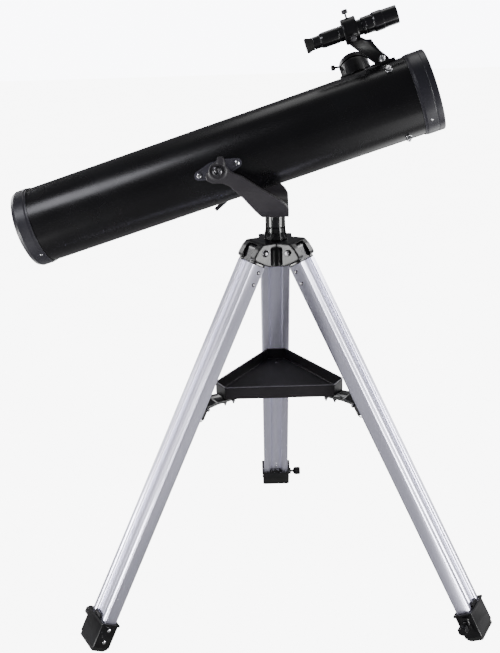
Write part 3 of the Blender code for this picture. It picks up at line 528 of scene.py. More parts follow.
def tray_bracket(key, azimuth, at):
    up = upright(azimuth)
    cheek = rounded([(0.104, 0.3902), (0.13, 0.3902), (0.15, 0.387),
                     (0.162, 0.376), (0.1575, 0.3722), (0.148, 0.3822), (0.13, 0.3858), (0.104, 0.387)],
                    0.0012, 4)
    bracket = prism(f"tray_arm_{key}", cheek, 0.016, 0.0184, up)
    other = prism(f"x_cheek_{key}", cheek, -0.0184, -0.016, up)
    ledge = prism(f"x_ledge_{key}", [(0.09, 0.3907), (0.13, 0.3907), (0.134, 0.386), (0.09, 0.387)],
                  -0.017, 0.017, up)
    web = [(0.13, 0.3885), (0.148, 0.387), (0.156, 0.3775), (0.1545, 0.375), (0.1475, 0.384), (0.13, 0.3862)]
    rib = prism(f"x_rib_{key}", web, -0.017, 0.017, up)
    pin_at = up @ shift(0.15, 0.382, 0)
    pin = turned(f"x_bracket_pin_{key}", pin_profile(0.0026, 0.0213, -0.0213), pin_at, 0.0008, 24)
    pad = edge_round(block(f"x_pad_{key}", (-0.0115, -0.016, 0.262), (0.0115, -0.01, 0.306), at), 0.0012, 2)
    bar = edge_round(block(f"x_bar_{key}", (-0.0205, -0.02, 0.276), (0.0205, -0.014, 0.294), at), 0.0012, 2)
    eyes = [lathe(f"x_eyelet_{key}_{side}", arc(0.0034, 0, 0.0011, 0, 324, 10),
                  at @ shift(side * 0.01, -0.02, 0.296) @ ALONG_X, 32) for side in (-1, 1)]
    for cheek_plate in (bracket, other):
        edge_round(cheek_plate, 0.0006, 2, 50)
    done = shaped(bracket, plus=[other, ledge, rib, pin, pad, bar, *eyes])
    settle(done, PLASTIC, "stand", f"tray_bracket_{key}")
    ends = (pin_at @ shift(0, 0, 0.0208), pin_at @ shift(0, 0, -0.0208) @ spin(180, "X"))
    studs = [dome(f"x_stud_{key}_{i}", end, 0.003, 0.0012, 1.1) for i, end in enumerate(ends)]
    studs += [dome(f"x_pad_screw_{key}_{i}", at @ shift(0, -0.0158, s) @ spin(90, "X"), 0.003, 0.0012)
              for i, s in enumerate((0.2675, 0.3005))]
    gathered(f"tray_bracket_{key}_screws", studs, BLACKENED, "stand")


def tray_corners(inset):
    points = []
    side = 0.0173 - inset * 0.577
    for azimuth in LEGS.values():
        cx, cy = polar(0.115 - inset, azimuth)
        dx, dy = polar(side, azimuth - 90)
        points += [(cx + dx, cy + dy), (cx - dx, cy - dy)]
    return points


def tray():
    """Pressed sheet tray: rounded bottom edge, a lighter grey rim bead that paints a highlight along its top,
    screws and nuts through its corners.
    """
    low, rim, wall = 0.391, 0.4114, 0.0016
    bead = prism("tray_rim", rounded(tray_corners(0), 0.003, 5), rim, rim + 0.0016, GROUND)
    inner = prism("x_tray_rim", rounded(tray_corners(0.0022), 0.0022, 5), rim - 0.01, rim + 0.01, GROUND)
    # The bead takes the lighter metal, a painted highlight along the rim.
    settle(edge_round(shaped(bead, minus=[inner]), 0.0007, 4, 60), RIM, "stand", "accessory_tray")
    dish = edge_round(prism("tray", rounded(tray_corners(0), 0.003, 5), low, rim, GROUND), 0.0018, 4, 60)
    apply_all(dish)
    hollow = prism("x_tray", rounded(tray_corners(wall), 0.0022, 5), low + wall, rim + 0.02, GROUND)
    edge_round(hollow, 0.0016, 4, 60)
    done = edge_round(shaped(dish, minus=[hollow]), 0.0005, 2, 60)
    settle(done, TRAY, "stand", "accessory_tray")
    screws = []
    for azimuth in LEGS.values():
        x, y = polar(0.093, azimuth)
        at = GROUND @ shift(x, y, low + wall + 0.0002)
        screws.append(cross_screw(f"x_tray_{azimuth}", at, 0.0034, 0.0016))
        for across in (0.0115, -0.0115):
            for out in (0.113, 0.097):
                under = GROUND @ spin(azimuth, "Z") @ shift(out, across, low - 0.004) @ spin(180, "X")
                screws.append(hex_nut("x_tray_nut", under, 0.006, 0.0048, 0.0036))
    gathered("tray_screws", screws, BLACKENED, "stand")


def hub():
    """Moulded head: a core and three slotted arms melted together."""
    shape = [(0, 0.648), (0.029, 0.648), (0.031, 0.645), (0.031, 0.612), (0.028, 0.607), (0, 0.607)]
    core = lathe("tripod_head", shape, GROUND, 64, False)
    arms, cuts = [], []
    for key, azimuth in LEGS.items():
        up = upright(azimuth)
        side = rounded([(0, 0.647), (0.04, 0.648), (0.049, 0.64), (0.06, 0.624), (0.0352, 0.6109),
                        (0.02, 0.606), (0, 0.606)], 0.006, 5)
        arms.append(prism(f"x_arm_{key}", side, -0.028, 0.028, up))
        gap = [(0.015, 0.6), (0.015, 0.63), (0.03, 0.6455), (0.043, 0.6455), (0.07, 0.63), (0.07, 0.6)]
        cuts.append(prism(f"x_gap_{key}", gap, -0.0134, 0.0134, up))
        cuts.append(drill(f"x_hub_bore_{key}", 0.0034, -0.04, 0.04, up @ shift(HINGE_R, HINGE_Z, 0), 24))
    hollows = [drill(f"x_hollow_{azimuth}", 0.0088, 0.59, 0.64,
                     GROUND @ spin(azimuth + 60, "Z") @ shift(0.035, 0, 0), 32) for azimuth in LEGS.values()]
    body = moulded(shaped(core, plus=arms, minus=hollows), 0.001, 10, 0.6)
    settle(shaped(body, minus=cuts), PLASTIC, "stand", "hub", sharp=50)


def post():
    """Azimuth post with a waist, ribs at its foot and a spigot, and the bolt on top."""
    shape = [(0, 0.706), (0.0088, 0.706), (0.0088, 0.6917), (0.0165, 0.6917), (0.0165, 0.67), (0.015, 0.667),
             (0.015, 0.66), (0.0185, 0.654), (0.02, 0.6483), (0, 0.6483)]
    stem = turned("azimuth_stem", shape, GROUND, 0.0016, 72)
    web = [(0.012, 0.6486), (0.0206, 0.6486), (0.02, 0.654), (0.0176, 0.664), (0.0172, 0.69), (0.012, 0.6912)]
    ribs = [prism(f"x_rib_{i}", web, -0.0012, 0.0012, upright(45 * i + 22.5)) for i in range(8)]
    for rib in ribs:
        edge_round(rib, 0.0005, 2)
    tap = drill("x_post_tap", 0.0034, 0.695, 0.72, GROUND, 24)
    settle(shaped(stem, plus=ribs, minus=[tap]), GLOSSY, "stand", "azimuth_post")
    cap = [(0, 0.7135), (0.009, 0.7135), (0.011, 0.712), (0.011, 0.7066), (0.003, 0.7066), (0.003, 0.698),
           (0, 0.698)]
    bolt = turned("azimuth_cap_bolt", cap, AZIMUTH, 0.0006, 64)
    socket = prism("x_socket", arc(0, 0, 0.0036, 0, 300, 6), 0.71, 0.72, AZIMUTH)
    settle(shaped(bolt, minus=[socket]), BLACKENED, "fork", "azimuth_bolt")


# ---- fork ----
def fork():
    side = [(0.0225, 0.688), (0.0225, 0.711), (0.018, 0.719), (0.0105, 0.726), (-0.0132, 0.7415),
            (-0.0497, 0.766), (-0.066, 0.7725), (-0.0735, 0.782), (-0.0765, 0.796), (-0.086, 0.797),
            (-0.0885, 0.7885), (-0.096, 0.783), (-0.101, 0.7745), (-0.106, 0.769), (-0.105, 0.76),
            (-0.0944, 0.755), (-0.0804, 0.7555), (-0.0682, 0.75), (-0.048, 0.73), (-0.0215, 0.696),
            (-0.02, 0.688)]
    low, floor_z = 0.692, 0.703
    right = [(0.04, low), (0.056, low + 0.004), (0.069, low + 0.015), (0.078, low + 0.032),
             (0.0815, low + 0.05), (0.0815, 0.81), (0.0715, 0.81), (0.0715, low + 0.05),
             (0.068, low + 0.037), (0.06, low + 0.023), (0.049, low + 0.014), (0.038, floor_z)]
    section = rounded(right + [(-x, y) for x, y in reversed(right)], 0.03, 5)
    body = prism("fork_casting", section, -0.12, 0.04, AZIMUTH @ SIDE_YZ)
    outline = prism("x_fork_side", rounded(side, 0.005, 5), -0.1, 0.1, AZIMUTH @ SIDE_XZ)
    socket = drill("x_fork_socket", 0.0091, 0.68, 0.72, AZIMUTH, 48)
    pivot_at = AZIMUTH @ shift(PIVOT_X, 0, PIVOT_Z) @ ALONG_Y
    pins = drill("x_fork_pins", 0.0043, -0.12, 0.12, pivot_at, 40)
    swivel_at = AZIMUTH @ shift(SWIVEL_X, 0, SWIVEL_Z) @ ALONG_Y
    hole = drill("x_fork_swivel", 0.0034, 0.06, 0.12, swivel_at, 32)
    lip = [(0, 0.0832), (0.0132, 0.0832), (0.014, 0.0824), (0.014, 0.079), (0, 0.079)]
    sides = [pivot_at @ spin(180, "X"), pivot_at @ spin(0, "X")]
    collars = [turned("x_fork_collar", lip, side_at, 0.0006, 64) for side_at in sides]
    cup = pin_profile(0.0112, 0.09, 0.0822)
    recess = [turned("x_fork_recess", cup, side_at, 0.0003, 64) for side_at in sides]
    tab = [(0.08, 0.7842), (0.0852, 0.7842), (0.0822, 0.7966), (0.08, 0.7966)]
    tabs = [prism(f"x_fork_tab_{side}", [(y * side, z) for y, z in tab], -0.0864, -0.0768, AZIMUTH @ SIDE_YZ)
            for side in (-1, 1)]
    shaped(body, common=[outline])
    moulded(shaped(body, plus=[*collars, *tabs]), 0.0011, 5)
    settle(shaped(body, minus=[socket, pins, hole, *recess]), FORK, "fork", "fork", sharp=50)


def trunnions():
    tips = [arc(0.0315, 0, 0.0075, -60, 60, 9), [(0.01, 0.0135), (-0.01, 0.0135)],
            arc(-0.0315, 0, 0.0075, 120, 240, 9), [(-0.01, -0.0135), (0.01, -0.0135)]]
    outline = rounded([point for group in tips for point in group], 0.004, 4)
    dish = [(x * 0.9 - (0.0004 if x > 0 else -0.0004), y * 0.82) for x, y in outline]
    for name, turn in (("near", 90), ("far", -90)):
        at = ALTITUDE @ spin(turn, "X")
        lug = prism(f"trunnion_plate_{name}", outline, 0.056, 0.0666, at)
        sunk = prism(f"x_sunk_{name}", dish, 0.0657, 0.08, at)
        shaped(lug, minus=[sunk])
        crown = [(0, 0.0708), (0.01, 0.0708), (0.012, 0.0696), (0.0132, 0.065), (0, 0.065)]
        boss = turned(f"x_boss_{name}", crown, at, 0.0008, 64)
        seats = [turned(f"x_seat_{name}_{side}", [(0, 0.0664), (0.0054, 0.0664), (0.006, 0.065), (0, 0.065)],
                        at @ shift(0.0315 * side, 0, 0), 0.0004, 40) for side in (1, -1)]
        core = drill(f"x_core_{name}", CRADLE_R, -0.1, 0.1, TUBE_AXIS, 128)
        tap = drill(f"x_tap_{name}", 0.0043, 0.05, 0.08, at, 32)
        edge_round(shaped(lug, plus=[boss, *seats], minus=[core, tap]), 0.0005, 2, 40)
        # The plates' lighter plastic paints a sheen on them.
        settle(lug, SHEEN_PLASTIC, "tube", f"trunnion_{name}")
        bolts = [cross_screw(f"x_lug_bolt_{name}_{side}", at @ shift(0.0315 * side, 0, 0.066), 0.004, 0.0022)
                 for side in (1, -1)]
        gathered(f"trunnion_{name}_screws", bolts, CHROME, "tube")


def pivots():
    at = ALTITUDE @ spin(90, "X")
    bolt = [(0, 0.0868), (0.0058, 0.0868), (0.0078, 0.0852), (0.0078, 0.0819), (0.004, 0.0819),
            (0.004, 0.064), (0, 0.064)]
    head = turned("pivot_bolt", bolt, at, 0.001, 64)
    socket = prism("x_pivot_socket", arc(0, 0, 0.0034, 0, 300, 6), 0.0845, 0.09, at)
    settle(shaped(head, minus=[socket]), BLACKENED, "tube", "altitude_pivot_bolt")
    grip = [(0, 0.0984), (0.006, 0.0988), (0.011, 0.0988), (0.0138, 0.096), (0.0138, 0.088), (0.0116, 0.085),
            (0.007, 0.084), (0.007, 0.0819), (0.004, 0.0819), (0.004, 0.064), (0, 0.064)]
    knob = turned("altitude_knob_grip", grip, ALTITUDE @ ALONG_Y, 0.0016, 160,
                  flutes=(5, 0.0036, 0.0846, 0.0986))
    settle(knob, PLASTIC, "altitude_knob", "altitude_clamp_knob", flat=False)


def slow_motion():
    post_at = ALTITUDE @ shift(ROD_TOP_X, 0, 0) @ ALONG_Y
    shape = [(0, 0.0966), (0.002, 0.0966), (0.002, 0.0885), (0.004, 0.0885), (0.004, 0.07), (0.007, 0.068),
             (0.007, 0.059), (0, 0.059)]
    stud = turned("rod_post", shape, post_at, 0.0006, 40)
    core = drill("x_core_stud", CRADLE_R, 0.1, 0.22, TUBE_AXIS, 128)
    settle(shaped(stud, minus=[core]), CHROME, "tube", "rod_stud")
    rod_at = ROD @ spin(-90, "Y")
    shape = [(0, 0.219), (0.0036, 0.219), (0.0036, 0.195), (0.0025, 0.1938), (0.0025, 0.004), (0, 0.004)]
    rod = turned("fine_altitude_rod", shape, rod_at, 0.0008, 32)
    eye = turned("x_rod_eye", pin_profile(0.0062, 0.0036, -0.0036), ROD @ ALONG_Y, 0.001, 40)
    hole = drill("x_rod_hole", 0.0024, -0.01, 0.01, ROD @ ALONG_Y, 24)
    settle(shaped(rod, plus=[eye], minus=[hole]), BLACKENED, "rod", "altitude_rod")
    at = SWIVEL @ ALONG_Y
    shape = [(0, 0.0872), (0.0065, 0.0872), (0.0065, 0.082), (0.0031, 0.082), (0.0031, 0.069), (0, 0.069)]
    pin = turned("rod_guide", shape, at, 0.0005, 40)
    body = block("x_guide_body", (-0.006, 0.0865, -0.013), (0.006, 0.101, 0.013), SWIVEL)
    edge_round(body, 0.0016, 4)
    slot = block("x_guide_slot", (-0.02, 0.09, -0.01), (0.02, 0.096, 0.01), SWIVEL)
    tap = drill("x_guide_tap", 0.0024, 0.095, 0.11, at, 24)
    settle(shaped(pin, plus=[body], minus=[slot, tap]), PLASTIC, "swivel", "rod_swivel")
    grip = [(0, 0.113), (0.0058, 0.113), (0.0074, 0.1115), (0.0074, 0.105), (0.006, 0.1035), (0.002, 0.103),
            (0.002, 0.0965), (0, 0.0965)]
    knob = turned("rod_lock_knob", grip, at, 0.0005, 160, flutes=(20, 0.0006, 0.1045, 0.112))
    settle(knob, PLASTIC, "rod_knob", "rod_clamp_knob", flat=False)


# ---- optical tube ----
TUBE_R, TUBE_WALL, TUBE_FRONT, TUBE_REAR = 0.0625, 0.0013, 0.356, -0.344
RIM_R, SCREW_TURN, SPIDER_X = 0.0645, 125, 0.296


def main_tube():
    rear, front = TUBE_REAR + 0.006, TUBE_FRONT - 0.004
    wall = [(TUBE_R, front), (TUBE_R, rear), (TUBE_R - TUBE_WALL, rear), (TUBE_R - TUBE_WALL, front)]
    tube = lathe("tube_shell", wall, TUBE_AXIS, 192)
    port = drill("x_port", 0.017, 0.04, 0.08, FOCUSER, 64)
    shaped(tube, minus=[port])
    tube.data.materials.clear()
    tube.data.materials.append(PAINT)
    tube.data.materials.append(INSIDE)
    for face in tube.data.polygons:
        centre = face.center
        face.material_index = int(math.hypot(centre.x, centre.y) < TUBE_R - 0.0004)
    settle(tube, None, "tube", "main_tube", sharp=30, flat=False)


def end_rings():
    inner = TUBE_R + GAP
    a, b = TUBE_FRONT - 0.032, TUBE_FRONT
    shape = [(RIM_R - 0.001, b), (RIM_R, b - 0.0014), (RIM_R, a + 0.0224), (RIM_R - 0.0004, a + 0.0219),
             (RIM_R - 0.0004, a + 0.0211), (RIM_R, a + 0.0206), (RIM_R, a + 0.005),
             (RIM_R - 0.0008, a + 0.002),
             (RIM_R - 0.0008, a), (inner, a), (inner, b - 0.0037), (0.0592, b - 0.0037), (0.06, b)]
    ring = lathe("front_trim_ring", rounded(shape, 0.0006, 3), TUBE_AXIS, 192)
    settle(ring, RING, "tube", "front_ring", flat=False)
    a, b = TUBE_REAR, TUBE_REAR + 0.03
    shape = [(inner, b), (RIM_R - 0.0008, b), (RIM_R - 0.0008, b - 0.003), (RIM_R, b - 0.005),
             (RIM_R, a + 0.009),
             (RIM_R - 0.0028, a + 0.0032), (RIM_R - 0.011, a), (0.04, a), (0.038, a + 0.0024),
             (0, a + 0.0024), (0, a + 0.0055), (inner, a + 0.0055)]
    cap = lathe("rear_cover", rounded(shape, 0.0012, 4, closed=False), TUBE_AXIS, 192)
    holes = []
    for i in range(3):
        y, z = polar(0.028, 120 * i + 30)
        holes.append(drill(f"x_cap_hole_{i}", 0.0042, -0.02, 0.02,
                           ALTITUDE @ shift(TUBE_REAR, y, z) @ ALONG_X, 32))
    settle(shaped(cap, minus=holes), RING, "tube", "rear_cap")
    screws = []
    for i in range(3):
        for x, more in ((0.3355, 0), (-0.3205, 3)):
            rim_at = on_tube(x, SCREW_TURN + 120 * i + more, RIM_R - 0.0002)
            screws.append(cross_screw("x_rim_screw", rim_at, 0.0023, 0.0013))
        y, z = polar(0.028, 120 * i + 30)
        back = ALTITUDE @ shift(TUBE_REAR + 0.003, y, z) @ spin(-90, "Y")
        screws.append(cross_screw(f"x_collimation_{i}", back, 0.0034, 0.002))
    for i in range(3):
        angle = 30 + 120 * i
        screws.append(hex_nut(f"x_spider_nut_{i}", on_tube(SPIDER_X, angle, TUBE_R), 0.0086, 0.0048, 0.0026))
        screws.append(dome(f"x_spider_washer_{i}", on_tube(SPIDER_X, angle, TUBE_R), 0.0058, 0.0007))
    gathered("tube_fasteners", screws, CHROME, "tube")


def mirrors():
    at = TUBE_AXIS
    face = [(0, -0.3065), (0.018, -0.3064), (0.036, -0.3058), (0.051, -0.3048), (0.052, -0.3058),
            (0.052, -0.317), (0, -0.317)]
    settle(turned("primary_mirror_disc", face, at, 0.0004, 128), SILVER, "tube", "primary_mirror", flat=False)
    cell = [(0, -0.3173), (0.0523, -0.3173), (0.0523, -0.306), (0.057, -0.306), (0.0605, -0.308),
            (0.0605, -0.334), (0, -0.334)]
    settle(turned("primary_cell", cell, at, 0.0006, 128), PLASTIC, "tube", "mirror_cell", flat=False)
    clips = []
    for i in range(3):
        clip_at = ALTITUDE @ shift(-0.3058, 0, 0) @ spin(120 * i, "X") @ shift(0, 0, 0.054)
        clip = block(f"x_clip_{i}", (0.0002, -0.0045, -0.0075), (0.0018, 0.0045, 0.0045), clip_at)
        clips.append(edge_round(clip, 0.0005, 2))
    gathered("mirror_clips", clips, PLASTIC, "tube")
    x = SPIDER_X
    stem = [(0, x + 0.008), (0.007, x + 0.008), (0.011, x + 0.006), (0.011, x - 0.004), (0.005, x - 0.006),
            (0.005, x - 0.014), (0.0125, x - 0.018), (0.0125, 0.233), (0, 0.233)]
    holder = turned("diagonal_holder", stem, at, 0.0006, 64)
    vanes = []
    for i in range(3):
        vane_at = ALTITUDE @ spin(30 + 120 * i, "X")
        vanes.append(block(f"x_vane_{i}", (x - 0.006, -0.0005, 0.008), (x + 0.006, 0.0005, 0.0606), vane_at))
    slope = FOCUSER @ spin(-45, "Y")
    clear = block("x_diagonal", (-0.06, -0.03, -0.002), (0.06, 0.03, 0.08), slope)
    settle(shaped(holder, plus=vanes, minus=[clear]), PLASTIC, "tube", "secondary_holder")
    glass = turned("diagonal_mirror", pin_profile(0.0125, 0, -0.0016),
                   slope @ Matrix.Diagonal((1.35, 1.0, 1.0, 1.0)), 0.0003, 96)
    settle(glass, SILVER, "tube", "secondary_mirror", flat=False)
    centre = [cross_screw("x_centre_bolt", ALTITUDE @ shift(x + 0.0078, 0, 0) @ ALONG_X, 0.0036, 0.0016)]
    for i in range(3):
        y, z = polar(0.0072, 120 * i)
        tilt_at = ALTITUDE @ shift(x + 0.0068, y, z) @ ALONG_X
        centre.append(cross_screw(f"x_tilt_{i}", tilt_at, 0.0014, 0.0014))
    gathered("diagonal_screws", centre, CHROME, "tube")


def focuser():
    saddle = edge_round(block("focuser_saddle", (-0.029, -0.022, 0.056), (0.029, 0.022, 0.07), FOCUSER),
                        0.004, 5)
    shape = [(0, 0.096), (0.022, 0.096), (0.0243, 0.094), (0.0245, 0.09), (0.0245, 0.065), (0, 0.065)]
    barrel = turned("x_barrel", shape, FOCUSER, 0.0012, 96)
    gear_box = block("x_gear_box", (-0.013, 0.015, 0.061), (0.013, 0.031, 0.08), FOCUSER)
    edge_round(gear_box, 0.0024, 4)
    axle = FOCUSER @ shift(0, 0.025, 0.07)
    shaft_at = axle @ ALONG_X
    cuts = [drill("x_focus_bore", 0.0164, 0.04, 0.11, FOCUSER, 96),
            drill("x_core_focus", CRADLE_R, -0.06, 0.06, FOCUSER @ ALONG_X, 128),
            drill("x_shaft_hole", 0.0028, -0.05, 0.05, shaft_at, 24)]
    settle(shaped(saddle, plus=[barrel, gear_box], minus=cuts), PLASTIC, "tube", "focuser_base")
    screws = [cross_screw(f"x_saddle_{i}", FOCUSER @ shift(sx * 0.0235, sy * 0.0165, 0.0698), 0.0028, 0.0014)
              for i, (sx, sy) in enumerate(((1, 1), (-1, 1), (1, -1), (-1, -1)))]
    screws += [cross_screw(f"x_plate_{sx}", FOCUSER @ shift(sx * 0.009, 0.0308, 0.0755) @ spin(-90, "X"),
                           0.0018, 0.001) for sx in (1, -1)]
    gathered("focuser_screws", screws, CHROME, "tube")
    draw = [(0.0235, 0.1035), (0.0245, 0.1025), (0.0245, 0.0965), (0.016, 0.0965), (0.016, 0.056),
            (0.0142, 0.056), (0.0142, 0.098), (0.0161, 0.098), (0.0161, 0.1035)]
    tube = lathe("focuser_draw_tube", rounded(draw, 0.0005, 3), FOCUSER, 96)
    side = FOCUSER @ shift(0, 0, 0.1) @ spin(15, "Z") @ spin(-90, "Y")
    tap = drill("x_draw_tap", 0.0019, 0.012, 0.03, side, 20)
    settle(shaped(tube, minus=[tap]), PLASTIC, "draw_tube", "draw_tube")
    shaft = turned("focus_axle", pin_profile(0.0025, 0.04, -0.04), shaft_at, 0.0003, 32)
    settle(shaft, CHROME, "focus_shaft", "focus_shaft", flat=False)
    for name, turn in (("front", 90), ("rear", -90)):
        grip = [(0.006, 0.044), (0.0082, 0.0432), (0.009, 0.0412), (0.009, 0.034), (0.0078, 0.032),
                (0.0028, 0.031), (0.0028, 0.0404), (0.0001, 0.0404), (0.0001, 0.044)]
        knob = lathe(f"focus_grip_{name}", rounded(grip, 0.0005, 3), axle @ spin(turn, "Y"), 192,
                     flutes=(24, 0.0005, 0.0335, 0.0415))
        settle(knob, PLASTIC, "focus_shaft", f"focus_knob_{name}", flat=False)
    eye = [(0, 0.106), (0.0072, 0.1062), (0.0088, 0.1088), (0.0112, 0.11), (0.017, 0.1096), (0.0212, 0.1078),
           (0.0234, 0.1054), (0.0236, 0.104), (0.0158, 0.104), (0.0158, 0.0986), (0.0135, 0.0983),
           (0.0135, 0.08), (0, 0.08)]
    settle(turned("eyepiece_body", eye, FOCUSER, 0.0006, 144, flutes=(36, 0.0003, 0.1042, 0.1066)), RUBBER,
           "draw_tube", "eyepiece", flat=False)
    shape = [(0, 0.1072), (0.004, 0.107), (0.007, 0.1064), (0.007, 0.1056), (0, 0.1056)]
    lens = turned("eyepiece_lens", shape, FOCUSER, 0.0003, 64)
    settle(lens, GLASS, "draw_tube", flat=False)
    head = [(0, 0.0378), (0.004, 0.0378), (0.0045, 0.0371), (0.0045, 0.033), (0.0036, 0.032),
            (0.0016, 0.0315), (0.0016, 0.0162), (0, 0.0162)]
    settle(turned("eyepiece_lock_screw", head, side, 0.0003, 96, flutes=(16, 0.0005, 0.0328, 0.0372)),
           BLACKENED, "eyepiece_screw", "eyepiece_thumbscrew", flat=False)


# ---- finder ----
CUP_X, CLAMP_X, HOOD_X = 0.1865, 0.26, 0.3365


def finder_bracket():
    stalk = rounded([(0.249, 0.113), (0.284, 0.0635), (0.306, 0.0635), (0.304, 0.07), (0.295, 0.083),
                     (0.289, 0.096), (0.287, 0.104), (0.279, 0.106), (0.272, 0.113)], 0.003, 4)
    body = edge_round(prism("finder_mount", stalk, -0.006, 0.006, FINDER @ SIDE_XZ), 0.0012, 3)
    foot = block("x_finder_foot", (0.263, -0.013, 0.058), (0.3125, 0.013, 0.066), FINDER)
    edge_round(foot, 0.0012, 3)
    band = [(0.0195, 0.272), (0.02, 0.27), (0.02, 0.251), (0.0195, 0.249), (0.0162, 0.249), (0.0162, 0.272)]
    ring = lathe("x_finder_ring", rounded(band, 0.0006, 3), SIGHT @ ALONG_X, 96)
    inside = drill("x_finder_inside", 0.0162, 0.24, 0.29, SIGHT @ ALONG_X, 96)
    core = drill("x_core_finder", CRADLE_R, 0.24, 0.34, FINDER @ ALONG_X, 128)
    clamps = [SIGHT @ shift(CLAMP_X, 0, 0) @ spin(120 * i, "X") for i in range(3)]
    bores = [drill("x_finder_bore", 0.002, 0.013, 0.03, at, 20) for at in clamps]
    shaped(foot, minus=[core])
    shaped(ring, minus=bores)
    shaped(apply_all(body), minus=[inside])
    settle(shaped(body, plus=[foot, ring]), PLASTIC, "tube", "finder_bracket")
    edge = prism("finder_mount_rib", [(0.2496, 0.1118), (0.2508, 0.1124), (0.2854, 0.0642), (0.2838, 0.0642)],
                 -0.0066, 0.0066, FINDER @ SIDE_XZ)
    settle(edge_round(edge, 0.0004, 2), BLACKENED, "tube")
    nut_places = [FINDER @ shift(0.2935, y, 0.0658) for y in (-0.0095, 0.0095)]
    nuts = [hex_nut("x_foot_nut", at, 0.009, 0.007, 0.0022) for at in nut_places]
    gathered("finder_foot_nuts", nuts, CHROME, "tube")
    head = [(0, 0.033), (0.0042, 0.033), (0.0048, 0.0322), (0.0048, 0.0275), (0.004, 0.0268),
            (0.0017, 0.0264), (0.0017, 0.0126), (0, 0.0126)]
    for i, at in enumerate(clamps, 1):
        screw = turned(f"finder_aim_screw_{i}", head, at, 0.0003, 96, flutes=(16, 0.0005, 0.0272, 0.0324))
        settle(screw, BLACKENED, f"finder_screw_{i}", f"finder_screw_{i}", flat=False)


def finder():
    at = SIGHT @ ALONG_X
    a, b = CUP_X, HOOD_X
    barrel = [(0, b - 0.04), (0.0138, b - 0.04), (0.0138, 0.286), (0.0133, 0.2856), (0.0133, 0.2844),
              (0.0138, 0.284), (0.0138, 0.28), (0.0122, 0.279), (0.0122, 0.242), (0.0117, 0.2416),
              (0.0117, 0.2404), (0.0122, 0.24),
              (0.0122, 0.216), (0.0112, 0.212), (0.0102, 0.211), (0.0098, 0.206), (0.01, 0.2), (0, 0.2)]
    settle(turned("finder_tube", barrel, at, 0.0005, 96), GLOSSY, "tube", "finder_barrel", flat=False)
    cup = [(0.01, a + 0.0132), (0.01, a + 0.009), (0.0118, a + 0.004), (0.0118, a + 0.001), (0.0085, a),
           (0.005, a + 0.005), (0.0048, a + 0.0132)]
    settle(lathe("finder_eye_cup", rounded(cup, 0.0007, 3), at, 96), RUBBER, "tube", "finder_eyecup",
           flat=False)
    hood = [(0.0142, b), (0.0145, b - 0.023), (0.0154, b - 0.024), (0.0154, b - 0.037), (0.0142, b - 0.0397),
            (0.004, b - 0.0397), (0.004, b - 0.03), (0.0125, b - 0.028), (0.013, b)]
    settle(lathe("finder_dew_hood", rounded(hood, 0.0005, 3), at, 96), GLOSSY, "tube", "finder_hood",
           flat=False)
    lens = [(0, b - 0.0235), (0.008, b - 0.024), (0.0122, b - 0.025), (0.0122, b - 0.0276), (0, b - 0.0276)]
    settle(turned("finder_objective", lens, at, 0.0006, 96), GLASS, "tube", "finder_lens", flat=False)
    lens = [(0, a + 0.0125), (0.003, a + 0.0122), (0.0044, a + 0.0128), (0.0044, a + 0.0134), (0, a + 0.0134)]
    settle(turned("finder_eye_lens", lens, at, 0.0003, 48), GLASS, "tube", flat=False)


for key, azimuth in LEGS.items():
    place = leg_frame(azimuth)
    leg_tubes(key, place)
    leg_top(key, place)
    leg_shoe(key, place)
    tray_bracket(key, azimuth, place)
tray()
hub()
post()
fork()
trunnions()
pivots()
slow_motion()
main_tube()
end_rings()
mirrors()
focuser()
finder_bracket()
finder()


# ---- stage ----
def seen_or_not(tree, unseen, seen):
    """One number for what the lens sees directly, another for light and reflections."""
    path = tree.nodes.new("ShaderNodeLightPath")
    node = tree.nodes.new("ShaderNodeMix")
    tree.links.new(path.outputs["Is Camera Ray"], node.inputs["Factor"])
    tree.links.new(unseen, node.inputs["A"])
    node.inputs["B"].default_value = seen
    return node.outputs["Result"]


def floor_look():
    """White paper with a faint mottling, glowing in four patches round the stand."""
    mat = bpy.data.materials.new("pale_floor")
    mat.use_nodes = True
    tree = mat.node_tree
    shader = tree.nodes["Principled BSDF"]
    place = tree.nodes.new("ShaderNodeTexCoord")
    slow = link_noise(tree, place.outputs["Object"], 3.0)
    tint = blend_colours(tree, spread(tree, slow, 0, 1), (0.9, 0.9, 0.905), (0.93, 0.93, 0.93))
    shader.inputs["Base Color"].default_value = (0.1, 0.1, 0.1, 1)
    tree.links.new(tint, shader.inputs["Emission Color"])
    split = tree.nodes.new("ShaderNodeSeparateXYZ")
    tree.links.new(place.outputs["Object"], split.inputs[0])
    off_centre = reckon(tree, "ABSOLUTE", split.outputs["X"])
    band = reckon(tree, "MINIMUM", spread(tree, off_centre, *FLOOR_GLOW, 0.4, 0.95),
                   spread(tree, off_centre, *reversed(FLOOR_GLOW), 1.6, 2.6))
    off_middle = reckon(tree, "ABSOLUTE", split.outputs["Y"])
    near = reckon(tree, "MINIMUM", spread(tree, off_middle, *FLOOR_GLOW, 0.15, 0.45),
                   spread(tree, off_middle, *reversed(FLOOR_GLOW), 1.0, 1.1))
    glow = reckon(tree, "MINIMUM", band, near)
    tree.links.new(seen_or_not(tree, glow, SEEN_GLOW), shader.inputs["Emission Strength"])
    shader.inputs["Roughness"].default_value = 0.8
    return mat


def stage():
    bm = bmesh.new()
    bmesh.ops.create_grid(bm, x_segments=4, y_segments=4, size=FLOOR_HALF)
    floor = solid("floor_sweep", bm, shift(0, 0, -0.0002))
    floor.data.materials.append(floor_look())


